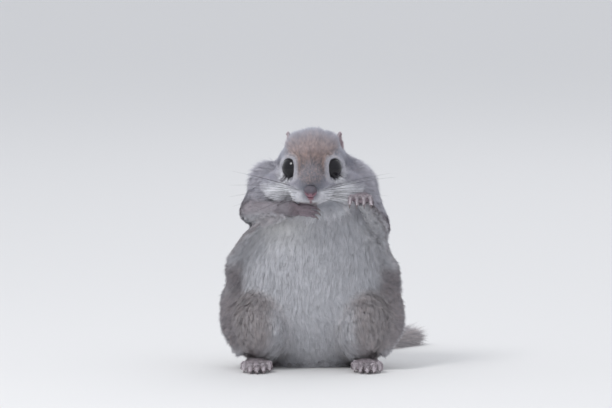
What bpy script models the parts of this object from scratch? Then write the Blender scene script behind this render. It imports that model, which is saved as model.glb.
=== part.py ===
"""A life-size flying squirrel, sitting up on its haunches as a still museum model.

It looks along -Y, +X is its own left side and +Z is up. One smooth body is made
from rounded forms, then parted into its named pieces with thin cuts.
"""

import math
import random

import bmesh
import bpy
from mathutils import Matrix, Vector
from mathutils.bvhtree import BVHTree

GAP = 0.3
TO_METRES = 0.001
FLOOR_DEPTH = 30

# Head, in its own frame: x to its left, then forward along the muzzle, then up.
# Its origin lies midway between the eyes.
HEAD_ORIGIN = (0, -24, 86)
HEAD_PITCH = math.radians(14)
HEAD_TURN = math.radians(2.5)  # to its right
CRANIUM = ((0, -9, 0.2), (12.6, 14.0, 10.4))
BROW = ((0, -1, 2.4), (9.8, 9, 7.9))
CROWN = ((5.0, -9.5, 3.0), (8.0, 10.5, 8.9))
BRIDGE = ((0, 6.0, -2.3), (6.2, 9.8, 5.9))
MUZZLE = ((0, 12.2, -5.6), (4.4, 5.0, 4.5))
WHISKER_PAD = ((3.9, 9.6, -7.9), (5.2, 5.8, 4.1))
MUZZLE_SIDE = ((6.2, 3.4, -6.8), (5.0, 7.6, 5.0))
CHEEK = ((10.0, -4.4, -8.6), (8.4, 9.6, 6.4))
CHEEK_TUFT = ((13.2, -5.0, -9.4), (6.0, 7.4, 5.4))
TEMPLE = ((8.2, -9.0, -1.0), (7.0, 9.0, 8.6))
CHIN = ((0, 6.4, -11.0), (5.2, 6.8, 3.3))
THROAT = ((0, -5, -11), (12, 10, 6.5))
NAPE = ((0, -20, -3.5), (15.0, 13, 11.2))
HEAD_REGION = ((0, -3, -2.4), (22.5, 22.6, 15.6))
NECK_REGION = ((0, -12, -4.0), (25.5, 21, 21))

EYE_CENTRE = (7.6, 0, 0.3)
EYE_RADIUS = 5.0
EYE_TURN = math.radians(62)
EYE_LIFT = math.radians(4)
LID_THICKNESS = 0.6
LID_DEPTH = 1.5
# The lids' opening: half angles seen from the eye's centre, from straight up, round by the nose.
LID_ANGLES = [57, 64, 63, 61, 63, 68, 63, 61, 60, 58, 52, 50]

NOSE = ((0, 15.4, -5.4), (2.8, 2.2, 2.6))
NOSTRIL = ((1.3, 17.1, -6.1), (0.55, 1.1, 0.8))
LIP_GROOVE = 0.42
PHILTRUM = [(0, 18.5, -8.2), (0, 17.6, -9.4), (0, 16.6, -10.3)]
MOUTH = [(0, 16.6, -10.3), (2.4, 15.2, -11.0), (4.6, 12.6, -11.6), (6.2, 9.2, -11.4)]

EAR_ROOT = (10.7, -10.2, 3.8)
EAR_AXIS = (0.08, -0.97, 0.12)
EAR_FACING = (0.97, 0.16, 0.12)
EAR_LENGTH = 15.5
EAR_WIDTH = 10.4
EAR_CUP = 2.2
EAR_THICKNESS = 0.9
EAR_ROUNDING = 0.5

# Torso: (x, y, z, half width, half depth) from the rump up to the shoulder hump.
TORSO = [
    (0, 13, 1, 19.5, 15.5),
    (0, 13.4, 5, 23.2, 19.5),
    (0, 13.6, 10, 26, 22.6),
    (0, 13, 17, 28.6, 25.4),
    (0, 11.6, 25, 30.2, 27.4),
    (0, 9.2, 34, 30.6, 28),
    (0, 6.6, 44, 29.6, 27.4),
    (0.5, 3.5, 55, 28, 26),
    (1.2, 0.5, 67, 26, 23),
    (1.6, -2.5, 78, 23.4, 19),
    (1.6, -4.5, 85, 18.6, 14.5),
    (1.2, -6, 89.5, 12, 9),
]

# Limbs: joints on the left side as (x, y, z), then radii at those joints.
THIGH = ((20.5, 0, 19), (13.5, 21, 17), math.radians(-14))
SHANK = ([(24.2, -12, 13.5), (22.8, -4, 8.5), (20.5, 5, 6)], [6.6, 5.8, 5.0])
SHOULDER_LEFT = (18.0, -4, 76)
SHOULDER_RIGHT = (-16.0, -4, 76)
UPPER_ARM_RADII = [9.0, 7.4, 5.6]
FOREARM_RADII = [5.2, 4.0, 3.1]
ELBOW_LEFT = (28.0, -9, 60)
WRIST_LEFT = (21.4, -26.0, 72.8)
ELBOW_RIGHT = (-25.5, -13.5, 67.2)
WRIST_RIGHT = (-9.5, -29.0, 69.6)

# Hands: four fingers, each a path from the palm; feet: five toes.
FINGER_RADII = [1.45, 1.3, 1.1, 0.95]
TOE_RADII = [1.9, 1.7, 1.45, 1.15]
CLAW_LENGTH = 2.4
CLAW_RADIUS = 0.75
FOOT_HEEL = (20.0, 6.0, 3.0)
FOOT_BALL = (23.0, -19.0, 2.4)
TOES = [(-5.0, -23.5), (-2.6, -29.5), (0.2, -31.5), (3.0, -30.0), (5.6, -25.0)]

# Gliding membrane: the free edge from wrist to ankle, folded along the flank.
MEMBRANE_DEPTH = 6.0
MEMBRANE_HALF_THICKNESS = 1.5
MEMBRANE_WAVES = 3
MEMBRANE_WAVE = 1.2
MEMBRANE_DROOP = 0.8
MEMBRANE_LEFT = [
    (24.5, -23, 69.0),
    (28.5, -13, 61),
    (29.5, -4, 50),
    (31.0, 0, 39),
    (33.0, -3, 28),
    (33.5, -10, 17),
    (29.5, -11, 8),
]
MEMBRANE_RIGHT = [
    (-12.5, -27.5, 66.0),
    (-20.0, -20, 64.0),
    (-26.5, -11, 58),
    (-29.5, -3, 48),
    (-31.0, 0, 38),
    (-33.0, -3, 28),
    (-33.5, -10, 17),
    (-29.5, -11, 8),
]

# Tail: the centre line of its core, laid on the floor, then half widths and half heights.
TAIL_LINE = [(0, 22, 10.5), (1.5, 42, 6.2), (8, 62, 4.6), (18, 80, 4.1), (31, 96, 3.8), (41, 105, 3.6)]
TAIL_WIDTHS = [9.0, 6.8, 6.8, 6.8, 6.2, 3.2]
TAIL_HEIGHTS = [7.5, 5.8, 4.8, 4.4, 3.8, 2.4]
LOCKS_A_SIDE = 22
LOCK_LENGTHS = [11.0, 17.0, 21.5, 23.0, 20.5, 14.5]
LOCK_SWEEPS = [32, 38, 38, 35, 30, 20]
LOCK_WIDTH = 2.9
LOCK_THICKNESS = 1.1
TIP_LOCKS = [-34, -17, 0, 17, 34]
TOP_LOCKS = 26
TOP_SWEEP = 20

VOXEL = 0.62
SMOOTHING = 18
BODY_TRIANGLES = 7000
KEEP_FACTOR = 0.002
TRIANGLES = {
    "head": 2300,
    "neck": 600,
    "torso": 1500,
    "thigh": 560,
    "shank": 360,
    "upper_arm": 340,
    "forearm": 380,
    "hand": 700,
    "foot": 760,
    "patagium": 600,
    "tail": 3600,
}
DETAILED_HEAD = 3100
DIGIT_VOXEL = 0.36
DIGIT_SMOOTHING = 2
HAND_TRIANGLES = 480
FOOT_TRIANGLES = 560


def clear_scene():
    for obj in list(bpy.data.objects):
        bpy.data.objects.remove(obj)


def material(name, colour, roughness):
    made = bpy.data.materials.new(name)
    made.use_nodes = True
    shader = made.node_tree.nodes["Principled BSDF"]
    shader.inputs["Base Color"].default_value = (*colour, 1)
    shader.inputs["Roughness"].default_value = roughness
    shader.inputs["Metallic"].default_value = 0
    made.diffuse_color = (*colour, 1)
    return made


def head_frame():
    forward = Vector((0, -math.cos(HEAD_PITCH), -math.sin(HEAD_PITCH)))
    up = Vector((0, -math.sin(HEAD_PITCH), math.cos(HEAD_PITCH)))
    frame = Matrix((Vector((1, 0, 0)), forward, up)).transposed().to_4x4()
    frame = Matrix.Rotation(-HEAD_TURN, 4, "Z") @ frame
    frame.translation = Vector(HEAD_ORIGIN)
    return frame


HEAD = head_frame()


def head_point(point):
    return HEAD @ Vector(point)


def head_direction(direction):
    return (HEAD.to_3x3() @ Vector(direction)).normalized()


def mirrored(point, side):
    return (point[0] * side, *point[1:])


def object_of(bm, name):
    bmesh.ops.recalc_face_normals(bm, faces=bm.faces)
    mesh = bpy.data.meshes.new(name)
    bm.to_mesh(mesh)
    bm.free()
    obj = bpy.data.objects.new(name, mesh)
    bpy.context.scene.collection.objects.link(obj)
    return obj


def ellipsoid(form, frame=None, side=1, grow=0.0, segments=24, rings=14):
    """A closed ellipsoid: form is its centre and radii in mm, in the frame's axes."""
    centre, radii = form
    place = Matrix.Translation(Vector(mirrored(centre, side)))
    size = Matrix.Diagonal((*(r + grow for r in radii), 1))
    bm = bmesh.new()
    bmesh.ops.create_uvsphere(
        bm,
        u_segments=segments,
        v_segments=rings,
        radius=1,
        matrix=(frame or Matrix.Identity(4)) @ place @ size,
    )
    return object_of(bm, "form")


def resampled(values, count):
    """Points on a smooth curve through the given ones, evenly spaced by index."""
    made = []
    last = len(values) - 1
    for i in range(count):
        t = i / (count - 1) * last
        k = min(int(t), last - 1)
        t -= k
        a, b, c, d = (
            Vector(values[min(max(j, 0), last)]) for j in (k - 1, k, k + 1, k + 2)
        )
        made.append(
            0.5
            * (
                2 * b
                + (c - a) * t
                + (2 * a - 5 * b + 4 * c - d) * t**2
                + (3 * b - a - 3 * c + d) * t**3
            )
        )
    return made


def sweep(path, widths, heights, across, sides=16, round_ends=True, name="form"):
    """A closed tube of flattened rings along the path, with rounded ends."""
    last = len(path) - 1
    rings = []
    for i, point in enumerate(path):
        along = (path[min(i + 1, last)] - path[max(i - 1, 0)]).normalized()
        wide = (across[i] if isinstance(across, list) else Vector(across)).copy()
        wide = (wide - along * wide.dot(along)).normalized()
        rings.append((point, along, wide, wide.cross(along), widths[i], heights[i]))
    if round_ends:
        capped = []
        for scale, reach in ((0.5, 0.87), (0.87, 0.5)):
            p, along, wide, high, w, h = rings[0]
            capped.append((p - along * reach * (w + h) / 2, along, wide, high, w * scale, h * scale))
        capped += rings
        for scale, reach in ((0.87, 0.5), (0.5, 0.87)):
            p, along, wide, high, w, h = rings[-1]
            capped.append((p + along * reach * (w + h) / 2, along, wide, high, w * scale, h * scale))
        first_pole = rings[0][0] - rings[0][1] * (widths[0] + heights[0]) / 2
        last_pole = rings[-1][0] + rings[-1][1] * (widths[-1] + heights[-1]) / 2
        rings = capped
    else:
        first_pole = rings[0][0]
        last_pole = rings[-1][0] + rings[-1][1] * (widths[-1] + heights[-1]) / 2
    bm = bmesh.new()
    loops = []
    for point, _, wide, high, w, h in rings:
        loops.append(
            [
                bm.verts.new(
                    point
                    + wide * w * math.cos(math.tau * k / sides)
                    + high * h * math.sin(math.tau * k / sides)
                )
                for k in range(sides)
            ]
        )
    for lower, upper in zip(loops, loops[1:]):
        for k in range(sides):
            n = (k + 1) % sides
            bm.faces.new((lower[k], lower[n], upper[n], upper[k]))
    start, end = bm.verts.new(first_pole), bm.verts.new(last_pole)
    for k in range(sides):
        n = (k + 1) % sides
        bm.faces.new((start, loops[0][n], loops[0][k]))
        bm.faces.new((end, loops[-1][k], loops[-1][n]))
    return object_of(bm, name)


def limb(joints, radii, grow=0.0, count=12, sides=16):
    """A round, tapered limb through its joints."""
    path = resampled([Vector(j) for j in joints], count)
    sizes = [v.x for v in resampled([Vector((r, 0, 0)) for r in radii], count)]
    sizes = [s + grow for s in sizes]
    return sweep(path, sizes, sizes, Vector((0.31, 0.17, 0.93)), sides)


def evaluated(obj):
    """Replaces an object's mesh by what its modifiers make of it."""
    graph = bpy.context.evaluated_depsgraph_get()
    mesh = bpy.data.meshes.new_from_object(obj.evaluated_get(graph))
    obj.modifiers.clear()
    obj.data = mesh
    return obj


def joined(objects):
    bm = bmesh.new()
    for obj in objects:
        bm.from_mesh(obj.data)
        bpy.data.objects.remove(obj)
    return object_of(bm, "form")


def smooth_union(objects, voxel, smoothing, triangles, keep=None):
    """One closed skin round all the forms. keep(point) from 0 to 1 asks for finer triangles."""
    body = joined(objects)
    remesh = body.modifiers.new("remesh", "REMESH")
    remesh.mode = "VOXEL"
    remesh.voxel_size = voxel
    smooth = body.modifiers.new("smooth", "SMOOTH")
    smooth.factor = 0.6
    smooth.iterations = smoothing
    evaluated(body)
    count = sum(len(p.vertices) - 2 for p in body.data.polygons)
    decimate = body.modifiers.new("decimate", "DECIMATE")
    decimate.ratio = triangles / count
    if keep:
        group = body.vertex_groups.new(name="keep")
        for v in body.data.vertices:
            group.add([v.index], 1 - 0.9 * keep(v.co), "REPLACE")
        decimate.vertex_group = "keep"
        decimate.vertex_group_factor = KEEP_FACTOR
    return evaluated(body)


def boolean(obj, cutter, operation, solver="EXACT"):
    cut = obj.modifiers.new("cut", "BOOLEAN")
    cut.operation = operation
    cut.solver = solver
    cut.object = cutter
    evaluated(obj)
    bpy.data.objects.remove(cutter)
    return obj


def fused(obj, pieces):
    """Joins closed pieces to a node by one union on their collection."""
    group = bpy.data.collections.new("pieces")
    bpy.context.scene.collection.children.link(group)
    for piece in pieces:
        group.objects.link(piece)
    union = obj.modifiers.new("union", "BOOLEAN")
    union.operation = "UNION"
    union.operand_type = "COLLECTION"
    union.collection = group
    union.solver = "EXACT"
    evaluated(obj)
    for piece in pieces:
        bpy.data.objects.remove(piece)
    bpy.data.collections.remove(group)
    return obj


def copy_of(obj):
    twin = bpy.data.objects.new("form", obj.data.copy())
    bpy.context.scene.collection.objects.link(twin)
    return twin


def cleared(obj, neighbour):
    """Cuts an object back from its neighbour by the gap."""
    grown = copy_of(neighbour)
    push = grown.modifiers.new("push", "DISPLACE")
    push.mid_level = 0
    push.strength = GAP
    return boolean(obj, evaluated(grown), "DIFFERENCE", "MANIFOLD")


def volume_of(faces):
    return sum(
        f.verts[0].co.dot(f.verts[k].co.cross(f.verts[k + 1].co)) / 6
        for f in faces
        for k in range(1, len(f.verts) - 1)
    )


def largest_only(obj):
    """Keeps the largest closed surface of a node."""
    bm = bmesh.new()
    bm.from_mesh(obj.data)
    bmesh.ops.triangulate(bm, faces=bm.faces)
    left, islands = set(bm.faces), []
    while left:
        island, front = set(), [left.pop()]
        while front:
            face = front.pop()
            island.add(face)
            for edge in face.edges:
                for other in edge.link_faces:
                    if other in left:
                        left.remove(other)
                        front.append(other)
        islands.append(island)
    islands.sort(key=volume_of)
    for island in islands[:-1]:
        bmesh.ops.delete(bm, geom=list(island), context="FACES")
    bm.to_mesh(obj.data)
    bm.free()
    return obj


def floor_block():
    bm = bmesh.new()
    place = Matrix.Translation((0, 0, -FLOOR_DEPTH / 2))
    bmesh.ops.create_cube(bm, size=1, matrix=place @ Matrix.Diagonal((600, 600, FLOOR_DEPTH, 1)))
    return object_of(bm, "form")


def thinned(obj, triangles):
    count = sum(len(p.vertices) - 2 for p in obj.data.polygons)
    if count > triangles:
        decimate = obj.modifiers.new("decimate", "DECIMATE")
        decimate.ratio = triangles / count
        evaluated(obj)
    return obj


def carved(body, region, name, finish, part):
    """Parts a node from the body inside a region, leaving a thin gap around it.
    region(grow) makes the region's solid."""
    node = copy_of(body)
    boolean(node, region(0.0), "INTERSECT")
    boolean(body, region(GAP), "DIFFERENCE")
    largest_only(body)
    return finished(thinned(largest_only(node), TRIANGLES[part]), name, finish)


def finished(obj, name, finish):
    largest_only(obj)
    obj.name = name
    obj.data.name = name
    obj.data.materials.clear()
    obj.data.materials.append(finish)
    obj.data.shade_smooth()
    obj.data.set_sharp_from_angle(angle=math.radians(50))
    NODES.append(obj)
    return obj


NODES = []


def haunch(side, grow=0.0):
    centre, radii, tilt = THIGH
    frame = Matrix.Translation(mirrored(centre, side)) @ Matrix.Rotation(tilt, 4, "X")
    return ellipsoid(((0, 0, 0), radii), frame, 1, grow)


def arm_joints(side):
    shoulder, elbow, wrist = (
        (SHOULDER_LEFT, ELBOW_LEFT, WRIST_LEFT)
        if side > 0
        else (SHOULDER_RIGHT, ELBOW_RIGHT, WRIST_RIGHT)
    )
    upper = [shoulder, [(a + b) / 2 for a, b in zip(shoulder, elbow)], elbow]
    fore = [elbow, [(a + b) / 2 for a, b in zip(elbow, wrist)], wrist]
    return upper, fore


def torso_form():
    count = 24
    path = resampled([row[:3] for row in TORSO], count)
    sizes = resampled([(*row[3:], 0) for row in TORSO], count)
    return sweep(path, [s.x for s in sizes], [s.y for s in sizes], Vector((1, 0, 0)), 32)


def head_forms():
    forms = [ellipsoid(f, HEAD) for f in (CRANIUM, BROW, BRIDGE, MUZZLE, CHIN, THROAT, NAPE)]
    for side in (1, -1):
        forms += [
            ellipsoid(f, HEAD, side)
            for f in (CROWN, WHISKER_PAD, MUZZLE_SIDE, CHEEK, CHEEK_TUFT, TEMPLE)
        ]
    return forms


def flesh():
    """Head, neck, torso and limbs without hands and feet, as one smooth closed body."""
    forms = [torso_form(), *head_forms()]
    for side in (1, -1):
        upper, fore = arm_joints(side)
        forms += [
            haunch(side),
            limb([mirrored(j, side) for j in SHANK[0]], SHANK[1]),
            limb(upper, UPPER_ARM_RADII),
            limb(fore, FOREARM_RADII),
        ]
    face = head_point((0, 4, -3))
    reach = 26

    def keep(point):
        return max(0.0, min(1.0, 1.6 - (point - face).length / reach))

    body = smooth_union(forms, VOXEL, SMOOTHING, BODY_TRIANGLES, keep)
    return boolean(body, floor_block(), "DIFFERENCE")


def eye_axis(side):
    return head_direction(
        (
            side * math.sin(EYE_TURN) * math.cos(EYE_LIFT),
            math.cos(EYE_TURN) * math.cos(EYE_LIFT),
            math.sin(EYE_LIFT),
        )
    )


def lid_opening(side):
    """A cone from the eye's centre out through the opening between the lids."""
    axis = eye_axis(side)
    centre = head_point(mirrored(EYE_CENTRE, side))
    up = head_direction((0, 0, 1))
    up = (up - axis * up.dot(axis)).normalized()
    inward = head_direction((-side, 0, 0))
    inward = (inward - axis * inward.dot(axis)).normalized()
    reach = EYE_RADIUS + LID_DEPTH
    bm = bmesh.new()
    apex = bm.verts.new(centre)
    rim = []
    around = 2 * len(LID_ANGLES)
    for i in range(around):
        before, after = LID_ANGLES[i // 2], LID_ANGLES[(i + 1) // 2 % len(LID_ANGLES)]
        angle = math.radians((before + after) / 2)
        turn = math.tau * i / around
        out = up * math.cos(turn) + inward * math.sin(turn)
        rim.append(bm.verts.new(centre + (axis * math.cos(angle) + out * math.sin(angle)) * reach))
    far = bm.verts.new(centre + axis * 1.6 * reach)
    for i, corner in enumerate(rim):
        following = rim[(i + 1) % around]
        bm.faces.new((apex, corner, following))
        bm.faces.new((far, following, corner))
    return object_of(bm, "form")


def eye_ball(side, grow=0.0):
    return ellipsoid(
        (EYE_CENTRE, (EYE_RADIUS,) * 3), HEAD, side, grow, segments=18, rings=10
    )


def groove(points, tree, radius):
    """A round cutter laid along the skin under the given points."""
    path = []
    for point in resampled([head_point(p) for p in points], 9):
        found = tree.find_nearest(point)[0]
        if not path or (found - path[-1]).length > radius:
            path.append(found)
    sizes = [radius] * len(path)
    return sweep(path, sizes, sizes, Vector((0.9, 0.1, 0.3)), 8)


def face_details(head):
    bm = bmesh.new()
    bm.from_mesh(head.data)
    tree = BVHTree.FromBMesh(bm)
    bm.free()
    fused(head, [eye_ball(side, GAP + LID_THICKNESS) for side in (1, -1)])
    boolean(head, groove(PHILTRUM, tree, LIP_GROOVE), "DIFFERENCE")
    for side in (1, -1):
        boolean(head, lid_opening(side), "DIFFERENCE")
        boolean(head, eye_ball(side, GAP), "DIFFERENCE")
        corner = [mirrored(p, side) for p in MOUTH]
        boolean(head, groove(corner, tree, LIP_GROOVE), "DIFFERENCE")
    boolean(head, ellipsoid(NOSE, HEAD, 1, GAP, 16, 10), "DIFFERENCE")
    return thinned(largest_only(head), DETAILED_HEAD)


def nose(finish):
    pad = ellipsoid(NOSE, HEAD, 1, 0.0, 16, 10)
    for side in (1, -1):
        boolean(pad, ellipsoid(NOSTRIL, HEAD, side, 0.0, 10, 8), "DIFFERENCE")
    return finished(pad, "nose", finish)


def ear(side, body, name, finish):
    """A cupped, rounded ear laid back along the head, its root sunk in the fur."""
    root = head_point(mirrored(EAR_ROOT, side))
    along = head_direction(mirrored(EAR_AXIS, side))
    facing = head_direction(mirrored(EAR_FACING, side))
    facing = (facing - along * facing.dot(along)).normalized()
    across = along.cross(facing)
    rows, columns = 7, 7
    bm = bmesh.new()
    fronts, backs = [], []
    for i in range(rows):
        s = math.sin(math.pi / 2 * i / (rows - 1))
        half = EAR_WIDTH / 2 * (1 - abs(1.5 * s - 0.54) ** 2.6) ** 0.45
        front, back = [], []
        for k in range(columns):
            t = 2 * k / (columns - 1) - 1
            cup = EAR_CUP * (1 - t * t) * math.sin(math.pi * (0.2 + 0.7 * s))
            thick = EAR_THICKNESS * (1.5 - 0.6 * s) * (1 - 0.35 * abs(t))
            rise = EAR_LENGTH * s - EAR_ROUNDING * t * t * s
            middle = root + along * rise + across * half * t - facing * cup
            front.append(bm.verts.new(middle + facing * thick / 2))
            back.append(bm.verts.new(middle - facing * thick / 2))
        fronts.append(front)
        backs.append(back)
    for grid in (fronts, backs):
        for i in range(rows - 1):
            for k in range(columns - 1):
                a, b, c, d = grid[i][k], grid[i][k + 1], grid[i + 1][k + 1], grid[i + 1][k]
                bm.faces.new((a, b, c))
                bm.faces.new((a, c, d))
    rim = [(0, k) for k in range(columns)] + [(i, columns - 1) for i in range(1, rows)]
    rim += [(rows - 1, k) for k in range(columns - 2, -1, -1)] + [(i, 0) for i in range(rows - 2, 0, -1)]
    for n, (i, k) in enumerate(rim):
        j, m = rim[(n + 1) % len(rim)]
        bm.faces.new((fronts[i][k], fronts[j][m], backs[j][m], backs[i][k]))
    made = object_of(bm, name)
    cleared(made, body)
    return finished(made, name, finish)


def claw(tip, along, drop):
    """A curved, tapering claw that grows from a digit's tip."""
    length = CLAW_LENGTH
    path = [
        tip - along * length * 0.35,
        tip + along * length * 0.20,
        tip + along * length * 0.55 + drop * length * 0.18,
        tip + along * length * 0.78 + drop * length * 0.48,
    ]
    sizes = [CLAW_RADIUS * k for k in (0.8, 1.0, 0.68, 0.30)]
    across = along.cross(drop).normalized()
    return sweep(path, sizes, sizes, across, 6, round_ends=False)


def paw(palm, digits, radii, triangles, claws_along, body, name, finish):
    """A hand or foot: palm forms, digits along their paths and a claw on each."""
    forms = list(palm)
    claws = []
    for digit in digits:
        path = resampled([Vector(p) for p in digit], 8)
        sizes = [v.x for v in resampled([Vector((r, 0, 0)) for r in radii], 8)]
        forms.append(sweep(path, sizes, sizes, Vector((0.5, 0.2, 0.8)), 12))
        along = (path[-1] - path[-2]).normalized()
        claws.append(claw(path[-1], along, claws_along(along)))
    made = smooth_union(forms, DIGIT_VOXEL, DIGIT_SMOOTHING, triangles)
    fused(made, claws)
    boolean(made, floor_block(), "DIFFERENCE")
    cleared(made, body)
    return finished(thinned(largest_only(made), TRIANGLES[name.split("_")[0]]), name, finish)


def hand_left(body, finish):
    """Raised, palm down, with the fingers bent over as round a ledge."""
    palm = [
        ellipsoid(((20.2, -29.8, 73.9), (4.2, 5.0, 2.4))),
        limb([WRIST_LEFT, (20.8, -28.2, 73.7)], [2.2, 2.3]),
    ]
    digits = []
    for x, reach in ((16.9, -0.9), (19.1, 0.0), (21.3, 0.0), (23.5, -1.0)):
        spread = (x - 20.2) * 0.18
        digits.append(
            [
                (x, -32.4 - reach * 0.4, 74.3),
                (x + spread, -36.0 - reach, 74.7),
                (x + 1.6 * spread, -38.8 - reach, 73.7),
                (x + 2.0 * spread, -40.2 - reach, 71.7),
            ]
        )

    def drop(_):
        return Vector((0, 0.75, -0.66)).normalized()

    return paw(palm, digits, FINGER_RADII, HAND_TRIANGLES, drop, body, "hand_left", finish)


def hand_right(body, finish):
    """Tucked across the chest under the chin, with the fingers to the animal's left."""
    palm = [
        ellipsoid(((-6.8, -31.4, 69.4), (4.0, 3.6, 2.7))),
        limb([WRIST_RIGHT, (-7.8, -30.6, 69.6)], [2.2, 2.3]),
    ]
    digits = []
    for k, lift in enumerate((1.2, 0.4, -0.6, -1.7)):
        reach = (-0.9, 0.3, 0.3, -0.7)[k]
        depth = (2.4, 0.6, -0.9, -1.9)[k]
        digits.append(
            [
                (-4.8, -32.2 + depth * 0.7, 69.5 + lift * 0.7),
                (-2.2 + reach * 0.5, -33.8 + depth, 69.9 + lift),
                (0.2 + reach, -34.1 + depth, 69.6 + lift),
                (2.0 + reach, -33.4 + depth, 68.9 + lift),
            ]
        )

    def drop(_):
        return Vector((0.3, 0.5, -0.8)).normalized()

    return paw(palm, digits, FINGER_RADII, HAND_TRIANGLES, drop, body, "hand_right", finish)


def foot(side, body, name, finish):
    heel, ball = mirrored(FOOT_HEEL, side), mirrored(FOOT_BALL, side)
    path = resampled([Vector(heel), Vector((ball[0], (heel[1] + ball[1]) / 2, 2.8)), Vector(ball)], 8)
    widths = [w for w in (3.2, 3.4, 3.7, 4.1, 4.6, 5.0, 5.2, 4.6)]
    heights = [h for h in (3.4, 3.3, 3.2, 3.0, 2.8, 2.6, 2.4, 2.0)]
    sole = [sweep(path, widths, heights, Vector((1, 0, 0)), 14)]
    digits = []
    for spread, reach in TOES:
        x = ball[0] + side * spread
        digits.append(
            [
                (ball[0] + side * spread * 0.62, ball[1] + 1.5, 2.0),
                (ball[0] + side * spread * 0.9, ball[1] * 0.62 + reach * 0.38, 3.0),
                (x, ball[1] * 0.25 + reach * 0.75, 2.6),
                (x, reach, 1.2),
            ]
        )

    def drop(_):
        return Vector((0, -0.35, -0.94)).normalized()

    return paw(sole, digits, TOE_RADII, FOOT_TRIANGLES, drop, body, name, finish)


def membrane(points, clear, name, finish):
    """The gliding membrane's loose fold down the flank, from wrist to ankle."""
    count = 26
    path = resampled([Vector(p) for p in points], count)
    outward = []
    for i, p in enumerate(path):
        side = 1 if p.x > 0 else -1
        out = Vector((p.x, (p.y - 6) * 0.8, 0)).normalized()
        wave = math.sin(math.tau * MEMBRANE_WAVES * i / (count - 1))
        p += Vector((side * 0.4, 1, 0)) * wave * MEMBRANE_WAVE
        outward.append((out + Vector((0, 0.25 * wave, -MEMBRANE_DROOP))).normalized())
    taper = [math.sin(math.pi * (0.06 + 0.86 * i / (count - 1))) ** 0.6 for i in range(count)]
    widths = [MEMBRANE_DEPTH * t for t in taper]
    heights = [MEMBRANE_HALF_THICKNESS * (0.7 + 0.3 * t) for t in taper]
    made = sweep(path, widths, heights, outward, 8)
    for other in clear:
        cleared(made, other)
    boolean(made, floor_block(), "DIFFERENCE")
    return finished(thinned(largest_only(made), TRIANGLES["patagium"]), name, finish)


def at(values, share):
    """The value that far along a list of numbers, by straight steps."""
    place = share * (len(values) - 1)
    k = min(int(place), len(values) - 2)
    return values[k] + (values[k + 1] - values[k]) * (place - k)


def lock(root, along, outward, length, width, lift):
    """A flat, tapered lock of long hair: it leaves its root outwards and bends back along the tail."""
    up = Vector((0, 0, 1))
    path = []
    for t in (0, 0.28, 0.56, 0.82, 1):
        path.append(root + (outward * (t - 0.28 * t * t) + along * 0.28 * t * t + up * lift * t) * length)
    widths = [width * k for k in (0.7, 1.0, 1.05, 0.75, 0.25)]
    heights = [LOCK_THICKNESS * k for k in (1.0, 0.95, 0.8, 0.55, 0.3)]
    across = up.cross(outward).normalized()
    return sweep(path, widths, heights, across, 4, round_ends=False)


def tail_place(path, share, side):
    """The tail's centre, its direction and the way out to one side, that far along it."""
    last = len(path) - 1
    k = min(int(share * last), last - 1)
    along = (path[k + 1] - path[k]).normalized()
    across = along.cross(Vector((0, 0, 1))).normalized() * side
    return path[k].lerp(path[k + 1], share * last - k), along, across


def tail_locks(path):
    """The long side hair in two levels, shorter locks along the top and a fan at the tip."""
    chance = random.Random(7)
    made = []
    for side in (1, -1):
        for n in range(LOCKS_A_SIDE):
            share = 0.13 + 0.85 * (n + 0.5 * (side > 0)) / LOCKS_A_SIDE
            centre, along, across = tail_place(path, share, side)
            turn = math.radians(at(LOCK_SWEEPS, share) + chance.uniform(-3, 3))
            outward = along * math.cos(turn) + across * math.sin(turn)
            level = (-0.9, 0.9)[n % 2] + chance.uniform(-0.3, 0.3)
            root = centre + across * at(TAIL_WIDTHS, share) * 0.42 + Vector((0, 0, level - 0.4))
            length = at(LOCK_LENGTHS, share) * chance.uniform(0.93, 1.07)
            made.append(lock(root, along, outward, length, LOCK_WIDTH, -0.02 - 0.03 * (level > 0)))
    for n in range(TOP_LOCKS):
        share = 0.16 + 0.74 * n / TOP_LOCKS
        centre, along, across = tail_place(path, share, (1, -1)[n % 2])
        turn = math.radians(TOP_SWEEP + chance.uniform(-4, 4))
        outward = along * math.cos(turn) + across * math.sin(turn)
        height = at(TAIL_HEIGHTS, share)
        root = centre + across * 1.6 + Vector((0, 0, height * 0.72))
        made.append(lock(root, along, outward, at(LOCK_LENGTHS, share) * 0.62, LOCK_WIDTH, 0.05))
    along = (path[-1] - path[-3]).normalized()
    across = along.cross(Vector((0, 0, 1))).normalized()
    for n, degrees in enumerate(TIP_LOCKS):
        turn = math.radians(degrees)
        outward = along * math.cos(turn) + across * math.sin(turn)
        root = path[-2] + across * math.sin(turn) * 2 + Vector((0, 0, (-0.5, 0.5)[n % 2]))
        made.append(lock(root, along, outward, LOCK_LENGTHS[-1], LOCK_WIDTH, -0.03))
    return made


def tail(body, finish):
    count = 26
    path = resampled(TAIL_LINE, count)
    widths = [at(TAIL_WIDTHS, i / (count - 1)) for i in range(count)]
    heights = [at(TAIL_HEIGHTS, i / (count - 1)) for i in range(count)]
    made = sweep(path, widths, heights, Vector((1, -0.4, 0)), 12)
    fused(made, tail_locks(path))
    boolean(made, floor_block(), "DIFFERENCE", "MANIFOLD")
    cleared(made, body)
    return finished(thinned(largest_only(made), TRIANGLES["tail"]), "tail", finish)


def set_origin():
    """Puts the origin on the floor, under the middle of the whole model's box."""
    corners = [v.co for obj in NODES for v in obj.data.vertices]
    middle = [(min(c[k] for c in corners) + max(c[k] for c in corners)) / 2 for k in (0, 1)]
    place = Matrix.Scale(TO_METRES, 4) @ Matrix.Translation((-middle[0], -middle[1], 0))
    for obj in NODES:
        obj.data.transform(place)


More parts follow.
